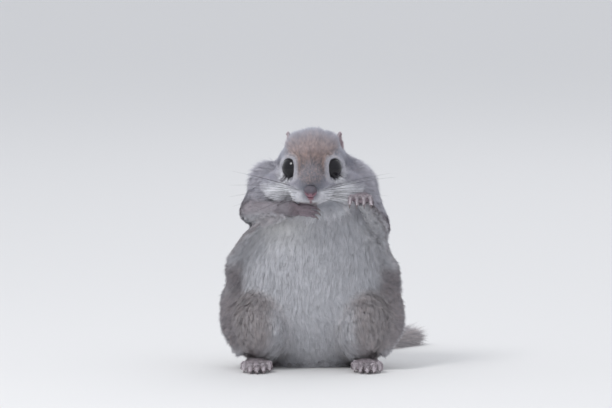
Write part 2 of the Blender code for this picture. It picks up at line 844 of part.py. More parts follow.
def main():
    clear_scene()
    back_fur = material("grey_brown_fur", (0.30, 0.27, 0.26), 0.9)
    pale_fur = material("pale_fur", (0.52, 0.51, 0.52), 0.9)
    belly_fur = material("white_fur", (0.66, 0.65, 0.64), 0.9)
    bare_skin = material("pink_grey_skin", (0.36, 0.24, 0.24), 0.6)
    eye_black = material("black_eye", (0.01, 0.01, 0.014), 0.08)

    body = flesh()
    whole = copy_of(body)
    for side, word in ((1, "left"), (-1, "right")):
        foot(side, whole, "foot_" + word, bare_skin)
        ear(side, whole, "ear_" + word, bare_skin)
    hand_left(whole, bare_skin)
    hand_right(whole, bare_skin)
    hands = {obj.name: obj for obj in NODES}
    membrane(MEMBRANE_LEFT, [whole, hands["hand_left"], hands["foot_left"]], "patagium_left", back_fur)
    membrane(MEMBRANE_RIGHT, [whole, hands["hand_right"], hands["foot_right"]], "patagium_right", back_fur)
    tail(whole, back_fur)
    bpy.data.objects.remove(whole)

    for side, word in ((1, "left"), (-1, "right")):
        upper, fore = arm_joints(side)
        shank = [mirrored(j, side) for j in SHANK[0]]
        regions = [
            ("forearm", pale_fur, lambda g: limb(fore, [r + 1.4 for r in FOREARM_RADII], g)),
            ("upper_arm", pale_fur, lambda g: limb(upper, [r + 1.0 for r in UPPER_ARM_RADII], g)),
            ("shank", back_fur, lambda g: limb(shank, SHANK[1], g)),
            ("thigh", back_fur, lambda g: haunch(side, g + 0.8)),
        ]
        for part, finish, region in regions:
            carved(body, region, f"{part}_{word}", finish, part)
    head = carved(body, lambda g: ellipsoid(HEAD_REGION, HEAD, 1, g), "head", back_fur, "head")
    carved(body, lambda g: ellipsoid(NECK_REGION, HEAD, 1, g), "neck", pale_fur, "neck")
    finished(thinned(body, TRIANGLES["torso"]), "torso", belly_fur)
    face_details(head)
    nose(bare_skin)
    for side, word in ((1, "left"), (-1, "right")):
        finished(eye_ball(side), "eye_" + word, eye_black)
    set_origin()


main()
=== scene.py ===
import math

import bmesh
import bpy
import numpy as np
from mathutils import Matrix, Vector
from mathutils.bvhtree import BVHTree


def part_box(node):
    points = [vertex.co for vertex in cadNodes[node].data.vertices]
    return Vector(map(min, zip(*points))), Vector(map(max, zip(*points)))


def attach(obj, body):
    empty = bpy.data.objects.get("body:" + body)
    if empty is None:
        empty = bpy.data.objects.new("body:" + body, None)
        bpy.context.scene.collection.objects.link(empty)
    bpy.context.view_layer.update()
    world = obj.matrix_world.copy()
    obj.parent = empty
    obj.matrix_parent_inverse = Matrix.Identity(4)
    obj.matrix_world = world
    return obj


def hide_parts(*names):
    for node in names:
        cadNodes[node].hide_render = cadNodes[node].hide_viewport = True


mm = 0.001
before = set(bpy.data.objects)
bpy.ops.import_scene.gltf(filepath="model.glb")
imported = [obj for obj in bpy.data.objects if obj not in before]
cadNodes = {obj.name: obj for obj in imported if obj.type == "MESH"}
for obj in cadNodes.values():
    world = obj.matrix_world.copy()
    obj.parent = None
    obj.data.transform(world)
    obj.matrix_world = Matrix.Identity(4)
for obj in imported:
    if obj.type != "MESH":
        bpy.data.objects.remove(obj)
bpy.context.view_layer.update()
scene = bpy.context.scene
print("frame loaded,", len(cadNodes), "solids")


# places on the animal, from the eyes, in millimetres
anatomy = {
    "headPitch": 14.0,  # degrees, muzzle down
    "headTurn": 2.5,  # degrees, to its right
    "headInBody": (0, -24, 86),  # the head's middle from the body's own origin
    "eyeAboveMiddle": 0.3,
    "eyeTurn": 62.0,  # degrees outwards from straight ahead
    "eyeLift": 4.0,
}


def unit(vectors):
    vectors = np.asarray(vectors, float)
    return vectors / np.maximum(np.linalg.norm(vectors, axis=-1, keepdims=True), 1e-12)


def ramp(x, start, end):
    t = np.clip((x - start) / (end - start), 0, 1)
    return t * t * (3 - 2 * t)


def blend(first, second, share):
    # row by row, from the first towards the second
    share = np.reshape(share, (-1, 1))
    return first * (1 - share) + second * share


def awayFrom(places, spots):
    # each place's distance from the nearest of the spots
    best = np.full(len(places), np.inf)
    for spot in spots:
        best = np.minimum(best, np.linalg.norm(places - spot, axis=1))
    return best


def nodeMiddle(name):
    low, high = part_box(name)
    return np.array((low + high) / 2)


def headDirections():
    # its left, forward along the muzzle, and up
    pitch = math.radians(anatomy["headPitch"])
    turn = math.radians(anatomy["headTurn"])
    nod = [[1, 0, 0], [0, -math.cos(pitch), -math.sin(pitch)], [0, -math.sin(pitch), math.cos(pitch)]]
    about = [[math.cos(turn), math.sin(turn), 0], [-math.sin(turn), math.cos(turn), 0], [0, 0, 1]]
    return np.array(nod) @ np.array(about).T


headAxes = headDirections()
headForward = headAxes[1]
headUp = headAxes[2]
eyesMiddle = (nodeMiddle("eye_left") + nodeMiddle("eye_right")) / 2
headMiddle = eyesMiddle - headUp * anatomy["eyeAboveMiddle"] * mm
bodyOrigin = headMiddle - np.array(anatomy["headInBody"]) * mm


def fromHead(places):
    return headMiddle + np.asarray(places) @ headAxes * mm


def inHead(points):
    return (points - headMiddle) @ headAxes.T / mm


def fromBody(places):
    return bodyOrigin + np.asarray(places) * mm


def inBody(points):
    return (points - bodyOrigin) / mm


# meshes from arrays
def curveThrough(points, count):
    points = np.asarray(points, float)
    ends = [2 * points[0] - points[1], *points, 2 * points[-1] - points[-2]]
    made = []
    for place in np.linspace(0, len(points) - 1, count):
        k = min(int(place), len(points) - 2)
        t = place - k
        a, b, c, d = ends[k : k + 4]
        bend = (c - a) * t + (2 * a - 5 * b + 4 * c - d) * t**2 + (3 * b - a - 3 * c + d) * t**3
        made.append(b + 0.5 * bend)
    return np.array(made)


def valueAlong(values, count):
    return np.interp(np.linspace(0, len(values) - 1, count), range(len(values)), values)


def tube(path, widths, heights, across, sides=12):
    path = np.asarray(path, float)
    along = unit(np.gradient(path, axis=0))
    across = np.asarray(across, float)
    wide = unit(across - along * (along @ across)[:, None])
    high = np.cross(wide, along)
    turn = np.arange(sides) * math.tau / sides
    ring = wide[:, None] * (np.cos(turn)[None, :] * np.asarray(widths)[:, None])[..., None]
    ring = ring + high[:, None] * (np.sin(turn)[None, :] * np.asarray(heights)[:, None])[..., None]
    first = path[0] - along[0] * widths[0] * 0.8
    last = path[-1] + along[-1] * widths[-1] * 0.8
    points = np.vstack([(path[:, None] + ring).reshape(-1, 3), first, last])
    faces = []
    rows = len(path)
    for i in range(rows - 1):
        for k in range(sides):
            n = (k + 1) % sides
            faces.append((i * sides + k, (i + 1) * sides + k, (i + 1) * sides + n, i * sides + n))
    for k in range(sides):
        n = (k + 1) % sides
        faces.append((rows * sides, k, n))
        faces.append((rows * sides + 1, (rows - 1) * sides + n, (rows - 1) * sides + k))
    return points, faces


def ball(centre, radii, segments, rings):
    rows = []
    turn = np.arange(segments) * math.tau / segments
    for i in range(1, rings):
        lift = math.pi * (i / rings - 0.5)
        flat = math.cos(lift)
        rows.append(np.stack([np.cos(turn) * flat, np.sin(turn) * flat, 0 * turn + math.sin(lift)], 1))
    points = np.vstack([*rows, [[0, 0, -1]], [[0, 0, 1]]]) * np.asarray(radii) + centre
    faces = []
    for i in range(rings - 2):
        for k in range(segments):
            n = (k + 1) % segments
            a = i * segments
            faces.append((a + k, a + n, a + segments + n, a + segments + k))
    low = (rings - 1) * segments
    for k in range(segments):
        n = (k + 1) % segments
        faces.append((low, n, k))
        faces.append((low + 1, (rings - 2) * segments + k, (rings - 2) * segments + n))
    return points, faces


def pieceFrom(name, shapes, finish=None):
    points = []
    faces = []
    for shapePoints, shapeFaces in shapes:
        start = sum(len(p) for p in points)
        points.append(shapePoints)
        faces += [tuple(i + start for i in face) for face in shapeFaces]
    mesh = bpy.data.meshes.new(name)
    mesh.from_pydata(np.vstack(points).tolist(), [], faces)
    bm = bmesh.new()
    bm.from_mesh(mesh)
    bmesh.ops.recalc_face_normals(bm, faces=bm.faces)
    bm.to_mesh(mesh)
    bm.free()
    mesh.shade_smooth()
    if finish:
        mesh.materials.append(finish)
    obj = bpy.data.objects.new(name, mesh)
    scene.collection.objects.link(obj)
    return obj


def remeshed(obj, voxel, smoothing):
    remesh = obj.modifiers.new("one surface", "REMESH")
    remesh.mode = "VOXEL"
    remesh.voxel_size = voxel * mm
    smooth = obj.modifiers.new("soften", "SMOOTH")
    smooth.factor = 0.6
    smooth.iterations = smoothing
    graph = bpy.context.evaluated_depsgraph_get()
    mesh = bpy.data.meshes.new_from_object(obj.evaluated_get(graph))
    obj.modifiers.clear()
    old = obj.data
    obj.data = mesh
    bpy.data.meshes.remove(old)
    mesh.name = obj.name
    return obj


def readArray(items, key, columns, kind=np.float32):
    values = np.empty(len(items) * columns, kind)
    items.foreach_get(key, values)
    return values.reshape(-1, columns)


def readPoints(mesh):
    return readArray(mesh.vertices, "co", 3).astype(float)


def readNormals(mesh):
    return readArray(mesh.vertex_normals, "vector", 3).astype(float)


def writePoints(mesh, points):
    mesh.vertices.foreach_set("co", points.astype(np.float32).ravel())
    mesh.update()


def evened(values, edges, times):
    # spreads values over a mesh, each vertex taking its neighbours' mean
    values = np.asarray(values, float)
    flat = values.reshape(len(values), -1)
    size = len(flat)
    counts = np.maximum(np.bincount(edges.ravel(), minlength=size)[:, None], 1)
    a, b = edges.T
    for _ in range(times):
        total = np.stack([np.bincount(a, v[b], size) + np.bincount(b, v[a], size) for v in flat.T], 1)
        flat = 0.5 * flat + 0.5 * total / counts
    return flat.reshape(values.shape)


# nodes of materials and of geometry
def addNode(tree, kind, inputs=None, **settings):
    # an input is a plain value, a socket, or a node that gives its first output
    node = tree.nodes.new(kind)
    for name, value in settings.items():
        setattr(node, name, value)
    for socket, value in (inputs or {}).items():
        if isinstance(value, bpy.types.Node):
            value = value.outputs[0]
        if isinstance(value, bpy.types.NodeSocket):
            tree.links.new(value, node.inputs[socket])
        else:
            node.inputs[socket].default_value = value
    return node


def linear(hexColour):
    # sRGB hex to the linear values that shaders work in
    made = []
    for k in (1, 3, 5):
        c = int(hexColour[k : k + 2], 16) / 255
        made.append(c / 12.92 if c <= 0.04045 else ((c + 0.055) / 1.055) ** 2.4)
    return np.array(made)


def colour(hexColour):
    return (*linear(hexColour), 1)


def newMaterial(name, settings):
    made = bpy.data.materials.new(name)
    made.use_nodes = True
    shader = made.node_tree.nodes["Principled BSDF"]
    for socket, value in settings.items():
        shader.inputs[socket].default_value = value
    return made, made.node_tree, shader


furFinish = {
    "rootShade": 0.76,  # slate underfur
    "tipShade": 1.08,
    "tuftShade": 0.14,  # light and dark tufts
    "mottleShade": 1.6,  # how much more they differ where the coat is mottled
    "patchSize": 3.2,  # mm, soft uneven patches in the coat
    "patchShades": (0.9, 1.08),
    "streak": "#a88a78",  # tan bands on the agouti hairs
    "streaked": (0.62, 0.8),  # the lightest tufts have them
}


def furMaterial():
    # fur is keratin, IOR 1.55: soft, a little sheen along the edge of the coat, no mirror
    made, tree, shader = newMaterial(
        "winterFurKeratin", {"Roughness": 0.72, "IOR": 1.55, "Sheen Weight": 0.18, "Sheen Roughness": 0.5}
    )
    stored = {"tone": "Color", "along": "Fac", "shade": "Fac", "mottle": "Fac", "rootNormal": "Vector"}
    tone, along, shade, mottle, ground = [
        addNode(tree, "ShaderNodeAttribute", attribute_name=name).outputs[output]
        for name, output in stored.items()
    ]
    place = addNode(tree, "ShaderNodeTexCoord").outputs["Object"]
    rootToTip = addNode(
        tree,
        "ShaderNodeMapRange",
        {"Value": along, "From Max": 0.7, "To Min": furFinish["rootShade"], "To Max": furFinish["tipShade"]},
        interpolation_type="SMOOTHSTEP",
    )
    patches = addNode(
        tree,
        "ShaderNodeTexNoise",
        {"Vector": place, "Scale": 1000 / furFinish["patchSize"], "Detail": 3.0, "Roughness": 0.6},
    )
    dark, light = furFinish["patchShades"]
    patchShade = addNode(
        tree,
        "ShaderNodeMapRange",
        {"Value": patches, "From Min": 0.3, "From Max": 0.7, "To Min": dark, "To Max": light},
    )
    spread = addNode(
        tree,
        "ShaderNodeMath",
        {0: mottle, 1: furFinish["mottleShade"], 2: furFinish["tuftShade"]},
        operation="MULTIPLY_ADD",
    )
    centred = addNode(tree, "ShaderNodeMath", {0: shade, 1: 0.5}, operation="SUBTRACT")
    tuftShade = addNode(tree, "ShaderNodeMath", {0: centred, 1: spread, 2: 1.0}, operation="MULTIPLY_ADD")
    start, end = furFinish["streaked"]
    bands = addNode(tree, "ShaderNodeMapRange", {"Value": shade, "From Min": start, "From Max": end})
    banded = addNode(tree, "ShaderNodeMath", {0: bands, 1: mottle}, operation="MULTIPLY", use_clamp=True)
    streaked = addNode(
        tree, "ShaderNodeMix", {0: banded, 6: tone, 7: colour(furFinish["streak"])}, data_type="RGBA"
    )
    strandShade = addNode(tree, "ShaderNodeMath", {0: rootToTip, 1: tuftShade}, operation="MULTIPLY")
    allShade = addNode(tree, "ShaderNodeMath", {0: strandShade, 1: patchShade}, operation="MULTIPLY")
    shaded = addNode(
        tree, "ShaderNodeVectorMath", {0: streaked.outputs[2], "Scale": allShade}, operation="SCALE"
    )
    tree.links.new(shaded.outputs[0], shader.inputs["Base Color"])
    # a dense coat scatters light, so a strand that faces outwards shades mostly as the body under it does
    strand = addNode(tree, "ShaderNodeNewGeometry").outputs["Normal"]
    agree = addNode(tree, "ShaderNodeVectorMath", {0: ground, 1: strand}, operation="DOT_PRODUCT")
    lean = addNode(
        tree,
        "ShaderNodeMapRange",
        {"Value": agree.outputs["Value"], "From Min": -0.2, "From Max": 0.6},
        interpolation_type="SMOOTHSTEP",
    )
    outward = addNode(tree, "ShaderNodeVectorMath", {0: ground, "Scale": lean}, operation="SCALE")
    leaning = addNode(tree, "ShaderNodeVectorMath", {0: outward, 1: strand}, operation="ADD")
    facing = addNode(tree, "ShaderNodeVectorMath", {0: leaning}, operation="NORMALIZE")
    tree.links.new(facing.outputs[0], shader.inputs["Normal"])
    return made


skinFinish = {
    "pore": 0.45,  # mm, coarser than real pores so that it shows
    "crease": 0.9,  # mm
    "depth": 0.04,  # mm
    "shades": (0.86, 1.1),
}


def skinMaterial():
    # thin bare skin, IOR 1.4: matt, with fine pores and creases; furred places show underfur
    made, tree, shader = newMaterial(
        "thinBareSkin", {"Roughness": 0.58, "IOR": 1.4, "Sheen Weight": 0.1, "Sheen Roughness": 0.4}
    )
    tone = addNode(tree, "ShaderNodeAttribute", attribute_name="tone").outputs["Color"]
    place = addNode(tree, "ShaderNodeTexCoord").outputs["Object"]
    pores = addNode(
        tree,
        "ShaderNodeTexNoise",
        {"Vector": place, "Scale": 1000 / skinFinish["pore"], "Detail": 4.0, "Roughness": 0.65},
    )
    creases = addNode(
        tree,
        "ShaderNodeTexVoronoi",
        {"Vector": place, "Scale": 1000 / skinFinish["crease"]},
        feature="DISTANCE_TO_EDGE",
    )
    height = addNode(
        tree, "ShaderNodeMath", {0: creases.outputs["Distance"], 1: 0.6, 2: pores}, operation="MULTIPLY_ADD"
    )
    bump = addNode(
        tree, "ShaderNodeBump", {"Height": height, "Strength": 0.6, "Distance": skinFinish["depth"] * mm}
    )
    tree.links.new(bump.outputs["Normal"], shader.inputs["Normal"])
    dark, light = skinFinish["shades"]
    shade = addNode(
        tree,
        "ShaderNodeMapRange",
        {"Value": pores, "From Min": 0.3, "From Max": 0.7, "To Min": dark, "To Max": light},
    )
    shaded = addNode(tree, "ShaderNodeVectorMath", {0: tone, "Scale": shade}, operation="SCALE")
    tree.links.new(shaded.outputs[0], shader.inputs["Base Color"])
    return made


def grainedMaterial(name, settings, dark, light, grain):
    # a smooth finish whose colour varies finely, the grain's size in mm
    made, tree, shader = newMaterial(name, settings)
    place = addNode(tree, "ShaderNodeTexCoord").outputs["Object"]
    streaks = addNode(tree, "ShaderNodeTexNoise", {"Vector": place, "Scale": 1000 / grain, "Detail": 3.0})
    tint = addNode(tree, "ShaderNodeMix", {0: streaks, 6: colour(dark), 7: colour(light)}, data_type="RGBA")
    tree.links.new(tint.outputs[2], shader.inputs["Base Color"])
    return made, streaks


def eyeMaterial():
    # the cornea is wet and clear, IOR 1.38, over a brown so dark that it reads black
    wet = {"Roughness": 0.06, "IOR": 1.38, "Coat Weight": 0.15, "Coat Roughness": 0.02, "Coat IOR": 1.38}
    return grainedMaterial("wetCornea", wet, "#07070b", "#15131a", 10 / 9)[0]


def hornMaterial(name, dark, light, roughness):
    # horn, IOR 1.54: smooth, with fine streaks
    made, streaks = grainedMaterial(name, {"Roughness": roughness, "IOR": 1.54}, dark, light, 0.4)
    streaks.inputs["Distortion"].default_value = 0.6
    return made


fur = furMaterial()
skinLeather = skinMaterial()
cornea = eyeMaterial()
clawHorn = hornMaterial("greyClawHorn", "#4b4346", "#8f8585", 0.35)
whiskerHorn = hornMaterial("blackWhiskerHorn", "#161417", "#2e2a2d", 0.4)
print("materials made")


# eyes: where they sit, and the lids' opening as half angles from straight up, round by the nose
eye = {
    "radius": 5.0,
    "socketGap": 0.8,  # mm, the skin lies this far under the ball
    "lidAngles": [57, 64, 63, 61, 63, 68, 63, 61, 60, 58, 52, 50],
}


def eyeFrame(side):
    turn = math.radians(anatomy["eyeTurn"])
    lift = math.radians(anatomy["eyeLift"])
    level = math.cos(lift)
    axis = np.array([side * math.sin(turn) * level, math.cos(turn) * level, math.sin(lift)]) @ headAxes
    up = unit(headUp - axis * (headUp @ axis))
    inward = np.array([-side, 0, 0])
    inward = unit(inward - axis * (inward @ axis))
    return nodeMiddle("eye_left" if side > 0 else "eye_right"), axis, up, inward


def lidAngle(around):
    angles = eye["lidAngles"]
    place = (around / math.tau % 1) * len(angles)
    return np.interp(place, range(len(angles) + 1), [*angles, angles[0]])


def seenFromEye(points, side):
    # distance in mm, degrees beyond the lids' edge, and the turn round the eye
    centre, axis, up, inward = eyeFrame(side)
    out = (points - centre) / mm
    reach = np.linalg.norm(out, axis=-1)
    angle = np.degrees(np.arccos(np.clip(out @ axis / np.maximum(reach, 1e-9), -1, 1)))
    around = np.arctan2(out @ inward, out @ up)
    return reach, angle - lidAngle(around), around


def nearEye(reach, start=1.8, end=3.6):
    return 1 - ramp(reach, eye["radius"] + start, eye["radius"] + end)


# paws: palms, digits and claws, in millimetres from the body's own origin
paws = {
    "fingerRadii": [1.45, 1.3, 1.1, 0.95],
    "toeRadii": [1.9, 1.7, 1.45, 1.15],
    "clawLength": 1.75,
    "clawRadius": 0.42,
    "heel": (20.0, 6.0, 3.0),
    "ball": (23.0, -19.0, 2.4),
    "toes": [(-5.0, -23.5), (-2.6, -29.5), (0.2, -31.5), (3.0, -30.0), (5.6, -25.0)],
    "leftFingers": [(16.9, -0.9), (19.1, 0.0), (21.3, 0.0), (23.5, -1.0)],
    "rightFingers": [(2.3, -1.0, 2.0), (0.8, 0.3, 0.8), (-0.9, 0.4, -0.6), (-2.4, -0.6, -1.6)],
    "wrists": [(-13.0, -27.2, 68.9), (22.0, -24.0, 71.7)],
    "shrink": 0.25,
    "fingerShrink": 0.36,
    "voxel": 0.36,
    "footTop": 15.0,
    "wristHair": (1.7, 0.08),  # mm longer and wider
    "heelHair": (1.6, 0.06),
}


def leftHand():
    line = [(24.3, -20.4, 69.0), (22.9, -24.0, 71.7), (21.2, -27.6, 73.4), (20.2, -31.0, 74.0)]
    widths = [1.1, 1.9, 2.3, 2.5, 2.9, 3.4, 3.7, 3.2]
    heights = [1.0, 1.8, 2.1, 2.1, 2.2, 2.2, 2.1, 1.7]
    digits = []
    for x, reach in paws["leftFingers"]:
        spread = (x - 20.2) * 0.18
        digits.append(
            [
                (x, -32.4 - reach * 0.4, 74.3),
                (x + spread, -36.0 - reach, 74.7),
                (x + 1.6 * spread, -38.8 - reach, 73.7),
                (x + 2.0 * spread, -40.2 - reach, 71.7),
            ]
        )
    palm = tube(curveThrough(line, 8), widths, heights, (1, 0, 0), 18)
    return palm, digits, paws["fingerRadii"], (0, 0.75, -0.66)


def rightHand():
    line = [(-17.0, -22.4, 68.1), (-13.0, -26.2, 68.9), (-9.5, -29.2, 69.4), (-5.8, -31.8, 69.5)]
    widths = [1.1, 2.0, 2.4, 2.6, 2.8, 3.0, 3.1, 2.6]
    heights = [1.0, 1.9, 2.2, 2.3, 2.3, 2.3, 2.1, 1.6]
    digits = []
    for lift, reach, depth in paws["rightFingers"]:
        digits.append(
            [
                (-4.8, -32.2 + depth * 0.7, 69.5 + lift * 0.7),
                (-2.2 + reach * 0.5, -33.8 + depth, 69.9 + lift),
                (0.2 + reach, -34.1 + depth, 69.6 + lift),
                (2.0 + reach, -33.4 + depth, 68.9 + lift),
            ]
        )
    palm = tube(curveThrough(line, 8), widths, heights, (0, 0, 1), 18)
    return palm, digits, paws["fingerRadii"], (0.3, 0.5, -0.8)


def foot(side):
    heel = paws["heel"]
    front = paws["ball"]
    middle = (front[0], (heel[1] + front[1]) / 2, 2.8)
    path = curveThrough([(side * x, y, z) for x, y, z in (heel, middle, front)], 8)
    widths = np.array([3.2, 3.4, 3.7, 4.1, 4.6, 5.0, 5.2, 4.6]) - paws["shrink"]
    heights = np.array([3.4, 3.3, 3.2, 3.0, 2.8, 2.6, 2.4, 2.0]) - paws["shrink"]
    digits = []
    for spread, reach in paws["toes"]:
        digits.append(
            [
                (side * (front[0] + spread * 0.62), front[1] + 1.5, 2.0),
                (side * (front[0] + spread * 0.9), front[1] * 0.62 + reach * 0.38, 3.0),
                (side * (front[0] + spread), front[1] * 0.25 + reach * 0.75, 2.6),
                (side * (front[0] + spread), reach, 1.2),
            ]
        )
    return tube(path, widths, heights, (1, 0, 0), 16), digits, paws["toeRadii"], (0, -0.35, -0.94)


def pawShapes():
    flesh = []
    claws = []
    for palm, digits, radii, drop in (leftHand(), rightHand(), foot(1), foot(-1)):
        flesh.append(palm)
        down = unit(drop)
        for digit in digits:
            path = curveThrough(digit, 14)
            sizes = valueAlong(radii, 14)
            sizes -= paws["fingerShrink"] if radii is paws["fingerRadii"] else paws["shrink"]
            sizes *= 1 + 0.12 * np.cos(np.linspace(0, 2.5 * math.tau, 14))  # knuckles and tip pad
            flesh.append(tube(path, sizes, sizes, (0.5, 0.2, 0.8)))
            along = unit(path[-1] - path[-2])
            length = paws["clawLength"]
            clawPath = curveThrough(
                [
                    path[-1] - along * length * 0.35,
                    path[-1] + along * length * 0.2 - down * 0.15,
                    path[-1] + along * length * 0.55 + down * length * 0.16,
                    path[-1] + along * length * 0.78 + down * length * 0.48,
                ],
                10,
            )
            clawPath[:, 2] = np.maximum(clawPath[:, 2], paws["clawRadius"] + 0.1)
            thick = paws["clawRadius"] * valueAlong([0.9, 1.0, 0.72, 0.12], 10)
            claws.append(tube(clawPath, thick * 0.72, thick, np.cross(along, down), 10))
    return [[(fromBody(points), faces) for points, faces in shapes] for shapes in (flesh, claws)]


# tail core: bone and skin only, the plume is hair
tail = {
    "line": [(0, 22, 10.5), (1.5, 42, 6.2), (8, 62, 4.6), (18, 80, 4.1), (31, 96, 3.8), (41, 105, 3.6)],
    "radii": [5.6, 3.0, 2.5, 2.2, 1.8, 1.1],
    "reach": 4.2,  # mm, the skin this near the line is the tail's
    "sideHair": [8.0, 15.0, 19.5, 21.0, 18.0, 12.0],  # mm
    "topHair": [6.0, 8.0, 9.0, 9.0, 8.0, 8.0],
    "sweeps": [34, 38, 38, 35, 30, 16],  # degrees out from the tail's line
}
tailLine = curveThrough(fromBody(tail["line"]), 40)

# ears: thin cups laid back along the head
ear = {
    "root": (10.7, -10.2, 3.8),
    "axis": (0.08, -0.97, 0.12),
    "facing": (0.97, 0.16, 0.12),
    "length": 15.2,
    "width": 10.2,
    "cup": 2.2,
    "thickness": 0.62,
    "rounding": 0.5,
    "rows": 26,
    "columns": 21,
    "region": 90,  # its coat's number
}


def earShape(side):
    flip = np.array([side, 1, 1])
    root = np.array(ear["root"]) * flip
    along = unit(np.array(ear["axis"]) * flip)
    facing = np.array(ear["facing"]) * flip
    facing = unit(facing - along * (facing @ along))
    across = np.cross(along, facing)
    rows = ear["rows"]
    columns = ear["columns"]
    sheets = []
    for face in (0.5, -0.5):
        for s in np.sin(np.linspace(-0.12, 1, rows) * math.pi / 2):
            half = ear["width"] / 2 * (1 - abs(1.5 * s - 0.54) ** 2.6) ** 0.45
            for t in np.linspace(-1, 1, columns):
                cup = ear["cup"] * (1 - t * t) * math.sin(math.pi * (0.2 + 0.7 * s))
                thick = ear["thickness"] * (1.5 - 0.6 * s) * (1 - 0.35 * abs(t))
                rise = ear["length"] * s - ear["rounding"] * t * t * s
                sheets.append(root + along * rise + across * half * t + facing * (thick * face - cup))
    count = rows * columns
    faces = []
    for i in range(rows - 1):
        for k in range(columns - 1):
            a = i * columns + k
            faces.append((a, a + 1, a + columns + 1, a + columns))
            faces.append((count + a, count + a + columns, count + a + columns + 1, count + a + 1))
    rim = list(range(columns)) + [i * columns + columns - 1 for i in range(1, rows)]
    rim += [(rows - 1) * columns + k for k in range(columns - 2, -1, -1)]
    rim += [i * columns for i in range(rows - 2, 0, -1)]
    for a, b in zip(rim, rim[1:] + rim[:1]):
        faces.append((a, b, count + b, count + a))
    return fromHead(sheets), faces


skinSettings = {
    "closeGap": 0.26,  # mm
    "voxel": 0.72,  # mm
    "smoothing": 13,
    "aboveFloor": 0.15,  # mm
    "waist": (42, 46),  # mm, where the coat's lower pieces begin in front and behind
}

# coat by part: the skin's depth under the tips, the hair's length and width in mm, tufts to a square mm
coatColumns = ["depth", "length", "width", "density", "mottle", "marking"]
coat = {
    "head": (1.2, 3.0, 0.15, 9.0, 0.10, "silver"),
    "nose": (0.3, 0.7, 0.1, 8.0, 0.0, "bridge"),
    "eye": (0.3, 0.9, 0.1, 9.0, 0.0, "ring"),
    "ear": (0.6, 2.0, 0.14, 8.0, 0.0, "silver"),
    "neck": (1.9, 5.4, 0.22, 5.0, 0.12, "ruff"),
    "torso": (2.4, 6.6, 0.22, 4.5, 0.06, "back"),
    "upper_arm": (1.4, 4.6, 0.2, 5.0, 0.10, "ruff"),
    "forearm": (0.9, 2.8, 0.17, 6.5, 0.14, "forearm"),
    "hand": (0.15, 1.25, 0.07, 15.0, 0.1, "pawSkin"),
    "thigh": (1.9, 5.6, 0.23, 4.2, 0.12, "back"),
    "shank": (1.2, 3.4, 0.18, 5.5, 0.12, "back"),
    "foot": (0.15, 1.7, 0.09, 11.0, 0.1, "pawSkin"),
    "patagium": (0.75, 3.2, 0.18, 6.5, 0.12, "membrane"),
    "tail": (0.0, 9.0, 0.2, 20.0, 0.2, "tailTop"),
}
partNames = list(coat)


def coatColumn(key):
    return [row[coatColumns.index(key)] for row in coat.values()]


def partOf(nodeName):
    return nodeName.removesuffix("_left").removesuffix("_right")


def skinBody():
    bm = bmesh.new()
    for name, node in cadNodes.items():
        if partOf(name) not in ("hand", "foot", "ear", "tail", "nose"):
            bm.from_mesh(node.data)
    bmesh.ops.remove_doubles(bm, verts=bm.verts, dist=1e-6)
    bm.normal_update()
    for vertex in bm.verts:
        vertex.co += vertex.normal * skinSettings["closeGap"] * mm
    radii = valueAlong(tail["radii"], len(tailLine)) * mm
    body = pieceFrom("skin", [tube(tailLine, radii, radii * 0.85, (1, -0.4, 0), 16)])
    bm.from_mesh(body.data)
    bm.to_mesh(body.data)
    bm.free()
    return remeshed(body, skinSettings["voxel"], skinSettings["smoothing"])


def nearestParts(points):
    # which part of the animal each point of the skin belongs to
    corners = []
    faces = []
    owners = []
    for name, node in cadNodes.items():
        start = len(corners)
        corners += [vertex.co.copy() for vertex in node.data.vertices]
        faces += [[start + i for i in face.vertices] for face in node.data.polygons]
        owners += [partNames.index(partOf(name))] * len(node.data.polygons)
    tree = BVHTree.FromPolygons(corners, faces)
    return np.array([owners[tree.find_nearest(point)[2]] for point in points])


pawFlesh, clawShapes = pawShapes()
skin = skinBody()
pawSkin = remeshed(pieceFrom("pawSkin", pawFlesh), paws["voxel"], 3)
bm = bmesh.new()
bm.from_mesh(skin.data)
bodyCount = len(bm.verts)
bm.from_mesh(pawSkin.data)
bm.to_mesh(skin.data)
bm.free()
bpy.data.objects.remove(pawSkin)
skin.data.shade_smooth()
print("skin joined,", len(skin.data.polygons), "faces")

points = readPoints(skin.data)
normals = readNormals(skin.data)
edges = readArray(skin.data.edges, "vertices", 2, np.int32)
part = nearestParts(points)
part[awayFrom(points, tailLine[4:]) < tail["reach"] * mm] = partNames.index("tail")
isPaw = np.arange(len(points)) >= bodyCount
part[isPaw] = partNames.index("hand")
part[isPaw & (points[:, 2] < paws["footTop"] * mm)] = partNames.index("foot")


def isPart(*names):
    return np.isin(part, [partNames.index(name) for name in names])


def ofParts(key, spread):
    return evened(np.array(coatColumn(key))[part], edges, spread)


# the ruff: the deepest fur, on the shoulders' tops beside the head, up to the eyes' height
ruff = {
    "tops": [((-18.5, -4, 83), 1.0), ((19, -4, 82), 0.7)],  # mm from the body's own origin, and its share
    "reach": (8, 10, 7),  # mm
    "way": (0.9, 0.35, -0.25),  # outwards, back and down
    "deeper": 1.4,
    "longer": 0.45,
    "lift": 0.5,
    "denser": 0.3,
}


def ruffShare():
    body = inBody(points)
    share = [much * np.exp(-(((body - top) / ruff["reach"]) ** 2).sum(1)) for top, much in ruff["tops"]]
    return evened(np.max(share, axis=0) * isPart("neck", "torso", "upper_arm"), edges, 6)


